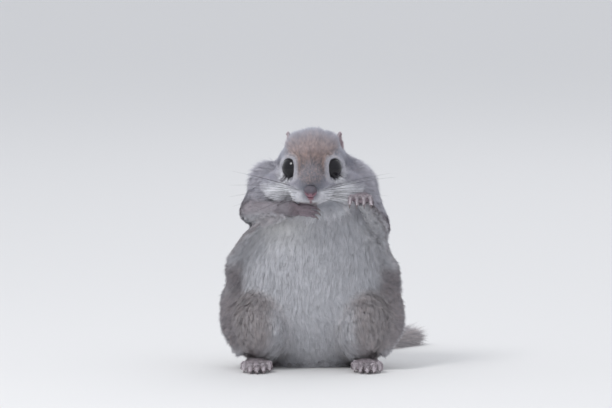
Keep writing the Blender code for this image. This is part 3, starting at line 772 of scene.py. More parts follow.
# the face, in the head's own millimetres: to the side, forwards and up
face = {
    "noseTip": np.array([0, 17.2, -6.0]),
    "cheek": ((15.5, -3.5, -9.0), (5.5, 8.0, 5.0)),  # its middle, and how far it reaches
    "bareNose": ((0, 15.4, -5.2), (2.9, 2.5, 2.6)),
    "philtrum": [(0, 18.5, -8.2), (0, 17.6, -9.4), (0, 16.6, -10.3)],
    "lips": [(0, 16.6, -10.3), (2.4, 15.2, -11.0), (4.6, 12.6, -11.6), (6.2, 9.2, -11.4)],
    "mouthDepth": 0.55,
    "mouthWidth": 0.55,
    "lipHeight": (-8.5, 2.0),  # the bare lip's middle, and how far it goes up and down
    "shortest": 0.28,  # share of the hair's length by the nose
    "cheekLonger": 1.5,
    "crownLonger": 1.3,  # mm
    "crestLonger": 0.8,  # mm, along the crown's middle
    "earShorter": 0.55,
    "eyeShorter": 0.8,
}

# the skin sinks under the coat
inRuff = ruffShare()
depth = ofParts("depth", 30)
depth *= 1 - ruff["deeper"] * inRuff
depth[bodyCount:] = ofParts("depth", 0)[bodyCount:]
head = inHead(points)
isHead = isPart("head")
fromNose = np.linalg.norm(head - face["noseTip"], axis=1)
depth *= np.where(fromNose < 30, 0.22 + 0.78 * ramp(fromNose, 2.0, 16.0), 1.0)
crownDip = isHead * ramp(head[:, 2], 6, 9) * (1 - ramp(np.abs(head[:, 0]), 1.5, 4.5))
depth *= 1 - 0.9 * crownDip
for side in (1, -1):
    reach, beyond, _ = seenFromEye(points, side)
    depth *= 1 - 0.7 * nearEye(reach) * (1 - ramp(beyond, 4, 40))
points -= normals * (depth * mm)[:, None]
for side in (1, -1):
    centre = eyeFrame(side)[0]
    reach, beyond, _ = seenFromEye(points, side)
    sunk = (1 - ramp(beyond, -1.0, 4.0)) * nearEye(reach)
    wanted = np.minimum(reach, eye["radius"] - eye["socketGap"])
    moved = (reach * (1 - sunk) + wanted * sunk) / np.maximum(reach, 1e-9)
    points = centre + (points - centre) * moved[:, None]

# the mouth's line and the groove under the nose
lipLine = curveThrough(face["lips"], 40)
mouthLines = np.vstack([curveThrough(face["philtrum"], 20), lipLine, lipLine * (-1, 1, 1)])
awayFromMouth = awayFrom(inHead(points), mouthLines)
groove = np.exp(-((awayFromMouth / face["mouthWidth"]) ** 2))
points -= normals * (groove * face["mouthDepth"] * mm)[:, None]
points[:, 2] = np.maximum(points[:, 2], skinSettings["aboveFloor"] * mm)
writePoints(skin.data, points)
normals = readNormals(skin.data)
head = inHead(points)
body = inBody(points)
bothEyes = [(eyeFrame(side)[0], *seenFromEye(points, side)) for side in (1, -1)]
print("skin set under the coat")


# lie of the coat: which way the hair runs on each part
lie = {
    "torso": (0.0, 0.22, -1.0),
    "neck": (0.0, 0.85, -0.55),
    "thigh": (0.1, -0.35, -1.0),
    "shank": (0.0, -0.8, -0.6),
    "foot": (0.0, -1.0, -0.1),
    "patagium": (0.8, 0.35, -0.75),
}

# soft swirls, so that the coat doesn't look combed
swirls = {
    "size": 9.0,  # mm
    "share": 0.16,  # how much they turn the hair
    "calmer": 0.6,  # on the head and the arms
}

# shoulder, elbow, wrist and fingertips
leftArm = [(18, -4, 76), (25, -6, 66), (28, -11, 59), (26, -20, 67), (22, -29, 74), (22, -38, 75)]
rightArm = [
    (-16, -4, 76),
    (-23, -9, 70),
    (-25.5, -14.5, 66.5),
    (-18, -22, 67.6),
    (-8, -31, 69.5),
    (2, -34, 69),
]


def limbWay(arm):
    # along the arm's own bend at the nearest place, so that the hair turns softly at the elbow
    line = curveThrough(fromBody(arm), 60)
    along = unit(np.gradient(line, axis=0))
    gaps = np.linalg.norm(points[:, None] - line[None], axis=2)
    near = np.exp(-(((gaps - gaps.min(1, keepdims=True)) / (2.5 * mm)) ** 2))
    return unit(near @ along)


def layOfCoat():
    sideways = np.sign(body[:, 0])
    way = np.zeros_like(points)
    for name, direction in lie.items():
        at = isPart(name)
        way[at] = unit(direction)
        way[at, 0] *= sideways[at]
    away = unit(head - face["noseTip"]) @ headAxes
    onHead = isPart("head", "nose", "eye", "ear")
    way[onHead] = away[onHead]
    onArm = isPart("upper_arm", "forearm", "hand")
    way[onArm] = np.where((body[:, 0] > 0)[:, None], limbWay(leftArm), limbWay(rightArm))[onArm]
    ruffWay = np.tile(ruff["way"], (len(points), 1))
    ruffWay[:, 0] *= sideways
    way = blend(way, unit(ruffWay), inRuff)
    way = unit(evened(way, edges, 48))
    x, y, z = points.T / (swirls["size"] * mm)
    swirl = [
        np.sin(y * 1.3 + z) + np.sin(2.3 * z - x),
        np.sin(z * 1.1 - x * 1.7) * 0.6,
        np.sin(x * 1.9 + y * 0.8) + np.sin(2.1 * y + z),
    ]
    way += swirls["share"] * np.stack(swirl, 1) * (1 - swirls["calmer"] * (onHead | onArm))[:, None]
    for centre, reach, beyond, _ in bothEyes:
        way = blend(way, unit(points - centre), (1 - ramp(beyond, 6, 42)) * nearEye(reach))
    return way


def tailPlaces():
    # share along the tail, its own way there, and the way across it
    gaps = np.linalg.norm(points[:, None] - tailLine[None], axis=2)
    nearest = gaps.argmin(1)
    along = unit(np.gradient(tailLine, axis=0))[nearest]
    across = unit(np.cross(along, (0, 0, 1)))
    return nearest / (len(tailLine) - 1), along, across


def alongTail(key):
    return np.interp(tailShare, np.linspace(0, 1, len(tail[key])), tail[key])


way = layOfCoat()
tailShare, tailWay, tailAcross = tailPlaces()
sideLook = (normals * tailAcross).sum(1)
toSide = ramp(np.abs(sideLook), 0.05, 0.75) * np.sign(sideLook)
sweep = np.radians(alongTail("sweeps")) * toSide
swept = tailWay * np.cos(sweep)[:, None] + tailAcross * np.sin(sweep)[:, None]
onTail = isPart("tail")
toTail = np.linalg.norm(points - tailLine[5], axis=1) / mm
way = blend(way, tailWay, (1 - ramp(toTail, 8, 26)) * ~onTail)
way[onTail] = swept[onTail]
way = unit(way - normals * (way * normals).sum(1)[:, None] * 0.9)

length = ofParts("length", 14)
width = ofParts("width", 14)
density = ofParts("density", 10)
mottle = ofParts("mottle", 10)
tailLength = alongTail("topHair") * (1 - np.abs(toSide)) + alongTail("sideHair") * np.abs(toSide)
length[onTail] = tailLength[onTail]

# the paws: longest by the wrist and the heel
fromWrist = awayFrom(body, paws["wrists"])
fromHeel = awayFrom(body, [np.array(paws["heel"]) * (side, 1, 1) for side in (1, -1)])
wristFur = isPart("hand") * (1 - ramp(fromWrist, 2.0, 9.0))
heelFur = isPart("foot") * (1 - ramp(fromHeel, 10.0, 24.0))
wristLonger, wristWider = paws["wristHair"]
heelLonger, heelWider = paws["heelHair"]
length += wristLonger * wristFur + heelLonger * heelFur
width += wristWider * wristFur + heelWider * heelFur

# the face: shortest by the nose and round the eyes, long on the cheeks
onFace = isPart("head", "nose", "eye")
aside = np.abs(head[:, 0])
cheekMiddle, cheekReach = face["cheek"]
folded = np.stack([aside, head[:, 1], head[:, 2]], 1)
cheek = np.exp(-(((folded - cheekMiddle) / cheekReach) ** 2).sum(1)) * onFace
faceShort = face["shortest"] + (1 - face["shortest"]) * ramp(fromNose, 3.0, 24.0)
length *= np.where(isHead | (fromNose < 12), faceShort, 1.0)
width *= np.where(isHead, 0.62 + 0.38 * ramp(fromNose, 4.0, 26.0), 1.0)
density *= np.where(isHead, 1.0 + 1.1 * (1 - ramp(fromNose, 8.0, 26.0)), 1.0)
length *= 1 + face["cheekLonger"] * cheek
earPoints = np.vstack([inHead(earShape(side)[0])[::3] for side in (1, -1)])
fromEar = np.full(len(points), np.inf)
fromEar[isHead] = awayFrom(head[isHead], earPoints)
length *= 1 - face["earShorter"] * (1 - ramp(fromEar, 0.8, 3.5))
crownTop = isHead * ramp(head[:, 2], 4.5, 9.5) * ramp(-head[:, 1], -3, 5) * (1 - ramp(-head[:, 1], 16, 22))
length += crownTop * (face["crownLonger"] + face["crestLonger"] * (1 - ramp(aside, 1, 5)))
length *= 1 + ruff["longer"] * inRuff
density *= 1 + ruff["denser"] * inRuff
lift = 0.5 * crownTop + 0.3 * cheek - 0.2 * isPart("forearm") + 0.25 * onTail + ruff["lift"] * inRuff
for _, reach, beyond, _ in bothEyes:
    close = nearEye(reach) * (1 - ramp(beyond, 4, 36))
    length *= 1 - face["eyeShorter"] * close
    width *= 1 - 0.3 * close
    density *= np.where((reach < eye["radius"] + 0.7) & (beyond < 1), 0.0, 1.0)
noseMiddle, noseReach = face["bareNose"]
bareNose = np.linalg.norm((head - noseMiddle) / noseReach, axis=1) < 1.0
lipWidth = 0.4 + 1.1 * (1 - ramp(-head[:, 2], 7.2, 9.8))
lipMiddle, lipHeight = face["lipHeight"]
onLip = (aside < lipWidth) & (np.abs(head[:, 2] - lipMiddle) < lipHeight)
bareLip = onFace & (head[:, 1] > 13) & onLip
armWay = np.where((body[:, 0] > 5)[:, None], limbWay(leftArm), limbWay(rightArm))
wristCap = (fromWrist < 7) & (np.abs((armWay * normals).sum(1)) > 0.6)
onFloor = (points[:, 2] < 1.2 * mm) & (normals[:, 2] < -0.6)
density *= np.where(bareNose | bareLip | (awayFromMouth < 0.5) | wristCap | onFloor, 0.0, 1.0)
density *= np.where(isPart("hand", "foot") & (normals[:, 2] < -0.45), 0.15, 1.0)
length *= 0.45 + 0.55 * ramp(awayFromMouth, 0.5, 3.0)
print("lie and length of the coat set")


# the markings: skin and coat share them
markings = {
    "silver": "#9796a1",
    "back": "#a29d9f",
    "forehead": "#9e8a86",
    "crown": "#a8a9b4",
    "bridge": "#7a7c87",
    "side": "#757682",
    "white": "#c6c7cc",
    "chest": "#fbfbfa",
    "cheek": "#f1f2f6",
    "throatShadow": "#9b9fa9",
    "ring": "#c1c0c8",
    "paleAndLitCrescent": "#f6f6fa",
    "ringLine": "#595d68",
    "rim": "#1f1b20",
    "pink": "#8f616b",
    "mouth": "#5f464d",
    "pawSkin": "#9f9098",
    "pawFur": "#ece6ea",
    "rightHandShade": "#82777f",
    "forearm": "#a8a2a9",
    "membrane": "#8f8a8e",
    "ruff": "#b3b2bb",
    "tailTop": "#a5a0a2",
    "tailSide": "#aca8ab",
    "earRimSkinAndHighlight": "#c9b8bd",
    "earCupShade": "#8e7a80",
    "earBack": "#9b9298",
}

# painted light: a pale patch on the chest's right side, where the window light falls; its middle across and
# up, and how far it reaches, in mm
chestLightPatch = {
    "middle": (-12, 65),
    "reach": (11, 7.5),
}


def over(tone, name, share):
    return blend(tone, linear(markings[name]), np.clip(share, 0, 1))


def bodyTone():
    tone = np.array([linear(markings[name]) for name in coatColumn("marking")])[part]
    front = ramp(-normals[:, 1] + 0.25 * normals[:, 2], -0.15, 0.45)
    onTorso = isPart("torso")
    tone = over(tone, "silver", ramp(body[:, 2], 20, 80) * onTorso)
    tone = over(tone, "white", front * onTorso)
    # painted light: the pale patch brightens the front of the chest
    patch = np.exp(-(((body[:, [0, 2]] - chestLightPatch["middle"]) / chestLightPatch["reach"]) ** 2).sum(1))
    tone = over(tone, "chest", 0.85 * patch * front * onTorso)
    inner = ramp(-normals[:, 0] * np.sign(body[:, 0]), 0.1, 0.6)
    tone = over(tone, "white", inner * isPart("thigh", "shank", "upper_arm", "forearm") * 0.9)
    under = ramp(-normals[:, 2], -0.05, 0.5)
    tone = over(tone, "white", under * isPart("forearm", "neck", "patagium"))
    tone = evened(tone, edges, 16)
    onPaws = isPart("hand", "foot")
    # painted shade: the right hand, under the chin, gets no pale fur and a darker tone
    onRightHand = isPart("hand") & (body[:, 0] < 5)
    upper = ramp(normals[:, 2] - 0.5 * normals[:, 1], -0.3, 0.2)
    tone = over(tone, "pawFur", onPaws * ~onRightHand * 0.8 * upper)
    tone = over(tone, "rightHandShade", onRightHand * 0.8)
    tone = over(tone, "forearm", wristFur)
    tone = over(tone, "back", heelFur)
    tone = over(tone, "tailSide", np.abs(toSide) * onTail)
    # painted shade: the paws' skin darker in its creases and hollows
    hollow = ((evened(points, edges, 3) - points) * normals).sum(1) / mm
    creases = ramp(hollow, 0.01, 0.09) * onPaws
    return tone * (1 - 0.5 * creases)[:, None]


def headTone(tone):
    # to the side, forwards and up, in the head's own millimetres
    x = aside
    y = head[:, 1]
    z = head[:, 2]
    near = 1 - ramp(fromNose, 40, 48)
    onNeck = isPart("neck")
    tone = over(tone, "side", isHead * ramp(x, 9, 13) * ramp(z, -6, -2) * 0.85)
    far = fromNose - 5 * ramp(-z, 7.5, 10.0)
    low = (1 - ramp(z + 0.22 * (x - 4), -5.8, -3.6)) * ramp(fromNose, 2, 5) * (1 - ramp(far, 18, 26))
    low *= 0.65 + 0.35 * ramp(x, 6, 10)
    tone = over(tone, "cheek", low * (onFace | onNeck))
    # painted shadow: a dark band in the mouth's colour under the mouth, above the right hand
    chinShadow = ramp(head[:, 0], -6.5, -4.5) * (1 - ramp(head[:, 0], 1.5, 3.5)) * ramp(-z, 9.6, 11.0)
    tone = over(tone, "mouth", 0.7 * chinShadow * onFace)
    chest = isPart("torso") & (normals[:, 1] < 0)
    # painted shadow under the chin, over the throat and the top of the chest
    shadow = ramp(-z, 11.2, 13.2) * (1 - ramp(-z, 15, 20)) * (1 - ramp(x, 10, 14)) * ramp(y, -12, 0)
    tone = over(tone, "throatShadow", shadow * (onFace | onNeck | chest) * 0.75)
    tone = over(tone, "crown", near * isHead * ramp(z + 0.16 * y, -1.0, 3.0))
    patchWidth = 2.9 + 4.1 * ramp(z, -3.0, 2.5) + 4.4 * ramp(z, 3.0, 9.0)
    patch = (1 - ramp(x, patchWidth - 1.6, patchWidth + 1.2)) * ramp(z + 0.10 * y, -3.4, -0.2)
    patch *= ramp(y, -11, 2) * (1 - 0.25 * ramp(z, 4.0, 9.0))
    tone = over(tone, "forehead", near * isHead * patch)
    bridge = (1 - ramp(x, 3.4, 6.8)) * ramp(z, -6.4, -4.4) * ramp(y, 4.5, 8.0)
    tone = over(tone, "bridge", near * bridge * 0.85)
    # the pale ring is widest below the eye, where it runs over the lid's fold, with a dark line outside it
    for _, reach, beyond, around in bothEyes:
        close = nearEye(reach, 3.0, 5.0)
        below = ramp(-np.cos(around), 0.1, 0.8) * (1 - 0.7 * ramp(np.sin(around), 0.1, 0.7))
        wide = 9 + 2 * (1 + np.sin(around)) + 8 * below
        overLid = ramp(reach, eye["radius"] + 0.4, eye["radius"] + 1.2) * nearEye(reach, 1.6, 3.2)
        ring = np.maximum(ramp(beyond, -1, 2), overLid) * (1 - ramp(beyond, wide, wide + 8))
        tone = over(tone, "ring", close * ring)
        # below the eye: the ring's pale crescent, with painted light over it to offset the shade in the
        # hollow under the eye
        tone = over(tone, "paleAndLitCrescent", nearEye(reach, 1.4, 3.0) * ring * below)
        outer = 0.5 - 0.5 * np.cos(around + 0.6)
        line = np.exp(-(((beyond - 31) / 4.5) ** 2)) * (0.25 + 0.6 * outer)
        tone = over(tone, "ringLine", close * line * (1 - below) * 0.8)
        tone = over(tone, "rim", nearEye(reach, 0.3, 0.9) * (1 - ramp(beyond, 0, 2)))
    tone = over(tone, "mouth", np.exp(-((awayFromMouth / 0.6) ** 2)))
    return over(tone, "pink", 0.9 * bareLip)


tone = headTone(bodyTone())
forehead = isHead & (aside < 11) & (head[:, 2] > -2)
banding = 0.12 + 0.28 * ramp(head[:, 1], -12, 0) * (1 - 0.5 * ramp(head[:, 2], 6, 10))
mottle = np.where(forehead, banding, mottle)


def writeAttribute(mesh, name, values, kind="FLOAT"):
    attribute = mesh.attributes.new(name, kind, "POINT")
    key = {"FLOAT": "value", "FLOAT_VECTOR": "vector", "FLOAT_COLOR": "color"}[kind]
    values = np.asarray(values, np.float32)
    if key == "color":
        values = np.hstack([values, np.ones((len(values), 1), np.float32)])
    attribute.data.foreach_set(key, values.ravel())


def dressed(mesh, fields):
    writeAttribute(mesh, "tone", fields["tone"], "FLOAT_COLOR")
    writeAttribute(mesh, "way", fields["way"], "FLOAT_VECTOR")
    writeAttribute(mesh, "facing", fields["facing"], "FLOAT_VECTOR")
    for name in ("hairLength", "hairWidth", "hairDensity", "hairLift", "mottle", "region"):
        writeAttribute(mesh, name, np.zeros(len(mesh.vertices)) + fields[name])


# regions: each becomes one piece of the coat, and a later one wins over an earlier one
onTorso = isPart("torso")
inFront = normals[:, 1] < 0.05
frontWaist, backWaist = skinSettings["waist"]
regions = {
    "coatFaceLeft": onFace & (head[:, 0] >= 0),
    "coatFaceRight": onFace & (head[:, 0] < 0),
    "coatCrown": onFace & (head[:, 1] < -5) | isPart("ear"),
    "coatNeck": isPart("neck"),
    "coatChest": onTorso & inFront,
    "coatBelly": onTorso & inFront & (body[:, 2] < frontWaist),
    "coatBackUpper": onTorso & ~inFront,
    "coatBackLower": onTorso & ~inFront & (body[:, 2] < backWaist),
    "coatArms": isPart("upper_arm", "forearm"),
    "coatLegs": isPart("thigh", "shank"),
    "coatPaws": isPart("hand", "foot"),
    "coatMembranes": isPart("patagium"),
    "coatTailLeft": onTail & (sideLook >= 0),
    "coatTailRight": onTail & (sideLook < 0),
}
region = np.zeros(len(points))
for number, chosen in enumerate(regions.values()):
    region[chosen] = number

# the way the coat's surface faces, for its shading; the flat plume of the tail faces up
facing = unit(evened(normals, edges, 4))
facing[onTail] = unit(normals[onTail] * 0.4 + (0, 0, 1))

fields = {
    "tone": tone,
    "way": way,
    "facing": facing,
    "hairLength": length,
    "hairWidth": width,
    "hairDensity": density,
    "hairLift": lift,
    "mottle": mottle,
    "region": region,
}
dressed(skin.data, fields)
skin.data.materials.clear()
skin.data.materials.append(skinLeather)


def unwrap(obj):
    bpy.context.view_layer.objects.active = obj
    obj.select_set(True)
    bpy.ops.object.mode_set(mode="EDIT")
    bpy.ops.mesh.select_all(action="SELECT")
    bpy.ops.uv.smart_project(angle_limit=math.radians(70), island_margin=0.001)
    bpy.ops.object.mode_set(mode="OBJECT")
    obj.select_set(False)
    obj.data.uv_layers[0].name = "OFBake"


unwrap(skin)
print("skin marked and unwrapped")


# tufts: two strands that rise from the skin and bend over along the lie, and finer hairs between them
tuft = {
    "strands": [(-1.0, 0.05, -0.35, 1.0), (0.9, -0.1, 0.3, 0.88)],  # root x, y, splay, length
    "hairs": [(0.0, 0.4, 0.05, 0.92), (1.9, 0.1, 0.7, 0.74), (-2.0, -0.3, -0.7, 0.7)],
    "body": (0.58, 0.28),  # how far they rise and bend over, on the body and on the tail
    "flat": (0.22, 0.12),
    "turns": [(-0.12, -0.9, -0.22), (0.16, 0.9, 0.22)],  # radians, least and most
    "lengths": (0.72, 1.12),
    "patch": 0.003,  # a tuft's size on the unwrapped skin
    "aboveFloor": 0.08,  # mm
}


def tuftShape(name, rise, bend):
    points = []
    faces = []
    along = []

    def grow(root, steps):
        x, y, splay, reach = root
        start = len(points)
        for t, half in steps:
            forward = y * 0.1 + reach * (0.8 * t + 0.12 * t * t)
            middle = Vector((x + splay * t * 2.2, forward, reach * (rise * t - bend * t * t)))
            sides = (-half, half) if half else (0,)
            points.extend(middle + Vector((side, 0, 0)) for side in sides)
            along.extend(t for _ in sides)
        return start

    for root in tuft["strands"]:
        n = grow(root, ((0.0, 0.42), (0.5, 0.5), (1.0, 0.0)))
        faces.extend([(n, n + 1, n + 3, n + 2), (n + 2, n + 3, n + 4)])
    for root in tuft["hairs"]:
        n = grow(root, ((0.0, 0.45), (1.0, 0.0)))
        faces.append((n, n + 1, n + 2))
    mesh = bpy.data.meshes.new(name)
    mesh.from_pydata(points, [], faces)
    writeAttribute(mesh, "along", along)
    patch = mesh.attributes.new("patch", "FLOAT2", "CORNER")
    for k, loop in enumerate(mesh.loops):
        patch.data[k].vector = (0.5 + 0.15 * points[loop.vertex_index].x, along[loop.vertex_index])
    obj = bpy.data.objects.new(name, mesh)
    scene.collection.objects.link(obj)
    return obj


def coatTree():
    tree = bpy.data.node_groups.new("coatTufts", "GeometryNodeTree")
    sockets = {
        "Geometry": "Geometry",
        "Region": "Int",
        "Density": "Float",
        "Seed": "Int",
        "Tuft": "Object",
        "Fur": "Material",
    }
    for name, kind in sockets.items():
        tree.interface.new_socket(name, in_out="INPUT", socket_type="NodeSocket" + kind)
    tree.interface.new_socket("Geometry", in_out="OUTPUT", socket_type="NodeSocketGeometry")
    given = addNode(tree, "NodeGroupInput").outputs
    kinds = {
        "FLOAT": ("region", "hairDensity", "hairLift", "hairLength", "hairWidth"),
        "FLOAT_VECTOR": ("way", "facing", "OFBake", "patch", "rootPlace"),
    }
    stored = {}
    for kind, names in kinds.items():
        for name in names:
            node = addNode(tree, "GeometryNodeInputNamedAttribute", {"Name": name}, data_type=kind)
            stored[name] = node.outputs["Attribute"]
    here = addNode(
        tree, "ShaderNodeMath", {0: stored["region"], 1: given["Region"], 2: 0.5}, operation="COMPARE"
    )
    thick = addNode(
        tree, "ShaderNodeMath", {0: stored["hairDensity"], 1: given["Density"]}, operation="MULTIPLY"
    )
    scatter = addNode(
        tree,
        "GeometryNodeDistributePointsOnFaces",
        {"Mesh": given["Geometry"], "Selection": here, "Density": thick, "Seed": given["Seed"]},
        distribute_method="RANDOM",
    )
    upright = addNode(
        tree,
        "FunctionNodeAxesToRotation",
        {"Primary Axis": scatter.outputs["Normal"], "Secondary Axis": stored["way"]},
        primary_axis="Z",
        secondary_axis="Y",
    )
    least, most = tuft["turns"]
    turn = addNode(
        tree, "FunctionNodeRandomValue", {0: least, 1: most, "Seed": given["Seed"]}, data_type="FLOAT_VECTOR"
    )
    raised = addNode(tree, "ShaderNodeCombineXYZ", {"X": stored["hairLift"]})
    allTurns = addNode(tree, "ShaderNodeVectorMath", {0: turn, 1: raised}, operation="ADD")
    turned = addNode(
        tree,
        "FunctionNodeRotateRotation",
        {"Rotation": upright, "Rotate By": allTurns},
        rotation_space="LOCAL",
    )
    shortest, longest = tuft["lengths"]
    vary = addNode(tree, "FunctionNodeRandomValue", {2: shortest, 3: longest}, data_type="FLOAT")
    longer = addNode(
        tree, "ShaderNodeMath", {0: stored["hairLength"], 1: vary.outputs[1]}, operation="MULTIPLY"
    )
    size = addNode(tree, "ShaderNodeCombineXYZ", {"X": stored["hairWidth"], "Y": longer, "Z": longer})
    inMetres = addNode(tree, "ShaderNodeVectorMath", {0: size, "Scale": mm}, operation="SCALE")
    shade = addNode(tree, "FunctionNodeRandomValue", {2: 0.0, 3: 1.0, "Seed": 5}, data_type="FLOAT")
    plants = scatter.outputs["Points"]
    for name, kind, value in (
        ("shade", "FLOAT", shade.outputs[1]),
        ("rootPlace", "FLOAT_VECTOR", stored["OFBake"]),
        ("rootNormal", "FLOAT_VECTOR", stored["facing"]),
    ):
        plants = addNode(
            tree,
            "GeometryNodeStoreNamedAttribute",
            {"Geometry": plants, "Name": name, "Value": value},
            data_type=kind,
            domain="POINT",
        )
    shape = addNode(tree, "GeometryNodeObjectInfo", {"Object": given["Tuft"]})
    planted = addNode(
        tree,
        "GeometryNodeInstanceOnPoints",
        {"Points": plants, "Instance": shape.outputs["Geometry"], "Rotation": turned, "Scale": inMetres},
    )
    real = addNode(tree, "GeometryNodeRealizeInstances", {"Geometry": planted})
    patch = addNode(
        tree,
        "ShaderNodeVectorMath",
        {0: stored["patch"], 1: (tuft["patch"], tuft["patch"], 0), 2: stored["rootPlace"]},
        operation="MULTIPLY_ADD",
    )
    mapped = addNode(
        tree,
        "GeometryNodeStoreNamedAttribute",
        {"Geometry": real, "Name": "OFBake", "Value": patch},
        data_type="FLOAT2",
        domain="CORNER",
    )
    finished = addNode(tree, "GeometryNodeSetMaterial", {"Geometry": mapped, "Material": given["Fur"]})
    addNode(tree, "NodeGroupOutput", {0: finished})
    return tree


coatTufts = coatTree()
bodyTuft = tuftShape("bodyTuft", *tuft["body"])
flatTuft = tuftShape("flatTuft", *tuft["flat"])
keptOnCoat = {"tone", "shade", "along", "mottle", "rootNormal", "OFBake", "position", "material_index"}


def growCoat(name, ground, number, shape):
    piece = bpy.data.objects.new(name, ground.data)
    scene.collection.objects.link(piece)
    modifier = piece.modifiers.new("tufts", "NODES")
    modifier.node_group = coatTufts
    inputs = {"Region": number, "Density": 1 / mm**2, "Seed": 100 + number, "Tuft": shape, "Fur": fur}
    for socket in coatTufts.interface.items_tree:
        if socket.in_out == "INPUT" and socket.name in inputs:
            modifier[socket.identifier] = inputs[socket.name]
    graph = bpy.context.evaluated_depsgraph_get()
    mesh = bpy.data.meshes.new_from_object(piece.evaluated_get(graph), depsgraph=graph)
    piece.modifiers.clear()
    piece.data = mesh
    mesh.name = name
    for attribute in [a.name for a in mesh.attributes]:
        if attribute not in keptOnCoat and not attribute.startswith("."):
            mesh.attributes.remove(mesh.attributes[attribute])
    grown = readPoints(mesh)
    grown[:, 2] = np.maximum(grown[:, 2], tuft["aboveFloor"] * mm)
    writePoints(mesh, grown)
    mesh.shade_smooth()
    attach(piece, "root")
    print(name, len(mesh.loops) - 2 * len(mesh.polygons), "triangles")


for number, name in enumerate(regions):
    growCoat(name, skin, number, flatTuft if "Tail" in name else bodyTuft)


# eyes and lids
def eyes():
    for side, word in ((1, "Left"), (-1, "Right")):
        centre = eyeFrame(side)[0]
        piece = pieceFrom("eye" + word, [ball(centre, [eye["radius"] * mm] * 3, 64, 40)], cornea)
        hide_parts("eye_left" if side > 0 else "eye_right")
        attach(piece, "root")


lids = {
    # degrees beyond the edge and height over the ball in mm: the lid's rounded margin, then its back
    "profile": [(-1.4, -0.15), (-2.2, 0.08), (-1.8, 0.24), (-0.4, 0.34), (1.6, 0.34), (4, 0.1), (6.5, -0.5)],
    "around": 72,
}


def eyelids():
    rows = len(lids["profile"])
    for side, word in ((1, "Left"), (-1, "Right")):
        centre, axis, up, inward = eyeFrame(side)
        points = []
        faces = []
        for k in range(lids["around"]):
            turn = math.tau * k / lids["around"]
            outward = up * math.cos(turn) + inward * math.sin(turn)
            edge = float(lidAngle(turn))
            n = (k + 1) % lids["around"]
            for j, (beyond, height) in enumerate(lids["profile"]):
                angle = math.radians(edge + beyond)
                direction = axis * math.cos(angle) + outward * math.sin(angle)
                points.append(centre + direction * (eye["radius"] + height) * mm)
                i = (j + 1) % rows
                faces.append((k * rows + j, n * rows + j, n * rows + i, k * rows + i))
        piece = pieceFrom("eyelids" + word, [(np.array(points), faces)], skinLeather)
        writeAttribute(piece.data, "tone", np.tile(linear(markings["rim"]), (len(points), 1)), "FLOAT_COLOR")
        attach(piece, "root")


eyes()
eyelids()
print("eyes and lids set")


# nose pad: an ellipsoid with comma nostrils, a middle groove and a paler lower edge
nosePad = {
    "centre": (0, 14.8, -5.2),
    "radii": (2.7, 2.8, 2.35),
    "nostril": (1.35, -0.75),  # mm to the side and up from the middle
    "nostrilDepth": 1.1,
    "grooveDepth": 0.32,
    "fur": "#6d6973",
    "top": "#5a525b",
    "lower": "#9a7480",
    "region": 91,  # its coat's number
}


def nose():
    points, faces = ball((0, 0, 0), (1, 1, 1), 72, 48)
    x, y, z = points.T
    front = ramp(y, 0.1, 0.6)
    across = np.abs(x) * nosePad["radii"][0]
    rise = z * nosePad["radii"][2]
    sideX, upZ = nosePad["nostril"]
    pit = np.exp(-(((across - sideX - 0.35 * (rise - upZ)) / 0.5) ** 2) - ((rise - upZ) / 0.62) ** 2)
    comma = np.exp(-(((across - sideX - 0.75) / 0.55) ** 2) - ((rise - upZ + 0.05) / 0.3) ** 2) * 0.6
    nostril = np.maximum(pit, comma)
    middle = np.exp(-((across / 0.28) ** 2)) * (1 - ramp(rise, -0.2, 1.6))
    sink = front * (nosePad["nostrilDepth"] * nostril + nosePad["grooveDepth"] * middle)
    shape = np.stack([x * (1 + 0.12 * z), y, z], 1)
    local = shape * nosePad["radii"] - unit(points) * sink[:, None]
    piece = pieceFrom("nosePad", [(fromHead(local + nosePad["centre"]), faces)], skinLeather)
    tint = blend(linear(nosePad["top"]), linear(nosePad["lower"]), ramp(-rise, -0.5, 1.0))
    # painted shade: darker inside the nostrils
    tint *= (1 - 0.8 * nostril * front)[:, None]
    local = inHead(readPoints(piece.data))
    furred = ramp(local[:, 2] - nosePad["centre"][2] - 0.25 * across, 0.3, 1.0)
    fields = {
        "tone": blend(tint, linear(nosePad["fur"]), furred),
        "way": unit(local - (0, 17.6, -7.2)) @ headAxes,
        "facing": readNormals(piece.data),
        "hairLength": 0.6 + 0.7 * furred,
        "hairWidth": 0.06,
        "hairDensity": 22.0 * furred,
        "hairLift": -0.25,
        "mottle": 0.1,
        "region": nosePad["region"],
    }
    dressed(piece.data, fields)
    unwrap(piece)
    growCoat("coatNose", piece, nosePad["region"], bodyTuft)
    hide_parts("nose")
    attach(piece, "root")


def ears():
    piece = pieceFrom("ears", [earShape(1), earShape(-1)], skinLeather)
    rows = np.repeat(np.linspace(0, 1, ear["rows"]), ear["columns"])
    columns = np.tile(np.abs(np.linspace(-1, 1, ear["columns"])), ear["rows"])
    rim = np.tile(np.maximum(ramp(columns, 0.55, 1.0), ramp(rows, 0.7, 1.0)), 4)
    inside = np.tile(np.repeat([1.0, 0.0], len(rows)), 2)
    # the inner face: painted shade in the cup's middle, and at the rim the ear's pale skin with a painted
    # highlight
    cup = blend(linear(markings["earCupShade"]), linear(markings["earRimSkinAndHighlight"]), rim)
    fields = {
        "tone": blend(linear(markings["earBack"]), cup, inside),
        "way": np.tile(unit(np.array(ear["axis"])) @ headAxes, (len(rim), 1)),
        "facing": readNormals(piece.data),
        "hairLength": 0.9 + 0.5 * rim,
        "hairWidth": 0.045,
        "hairDensity": 4.0 + 6.0 * (1 - inside),
        "hairLift": -0.1,
        "mottle": 0.1,
        "region": ear["region"],
    }
    dressed(piece.data, fields)
    unwrap(piece)
    growCoat("coatEars", piece, ear["region"], bodyTuft)
    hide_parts("ear_left", "ear_right")
    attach(piece, "root")


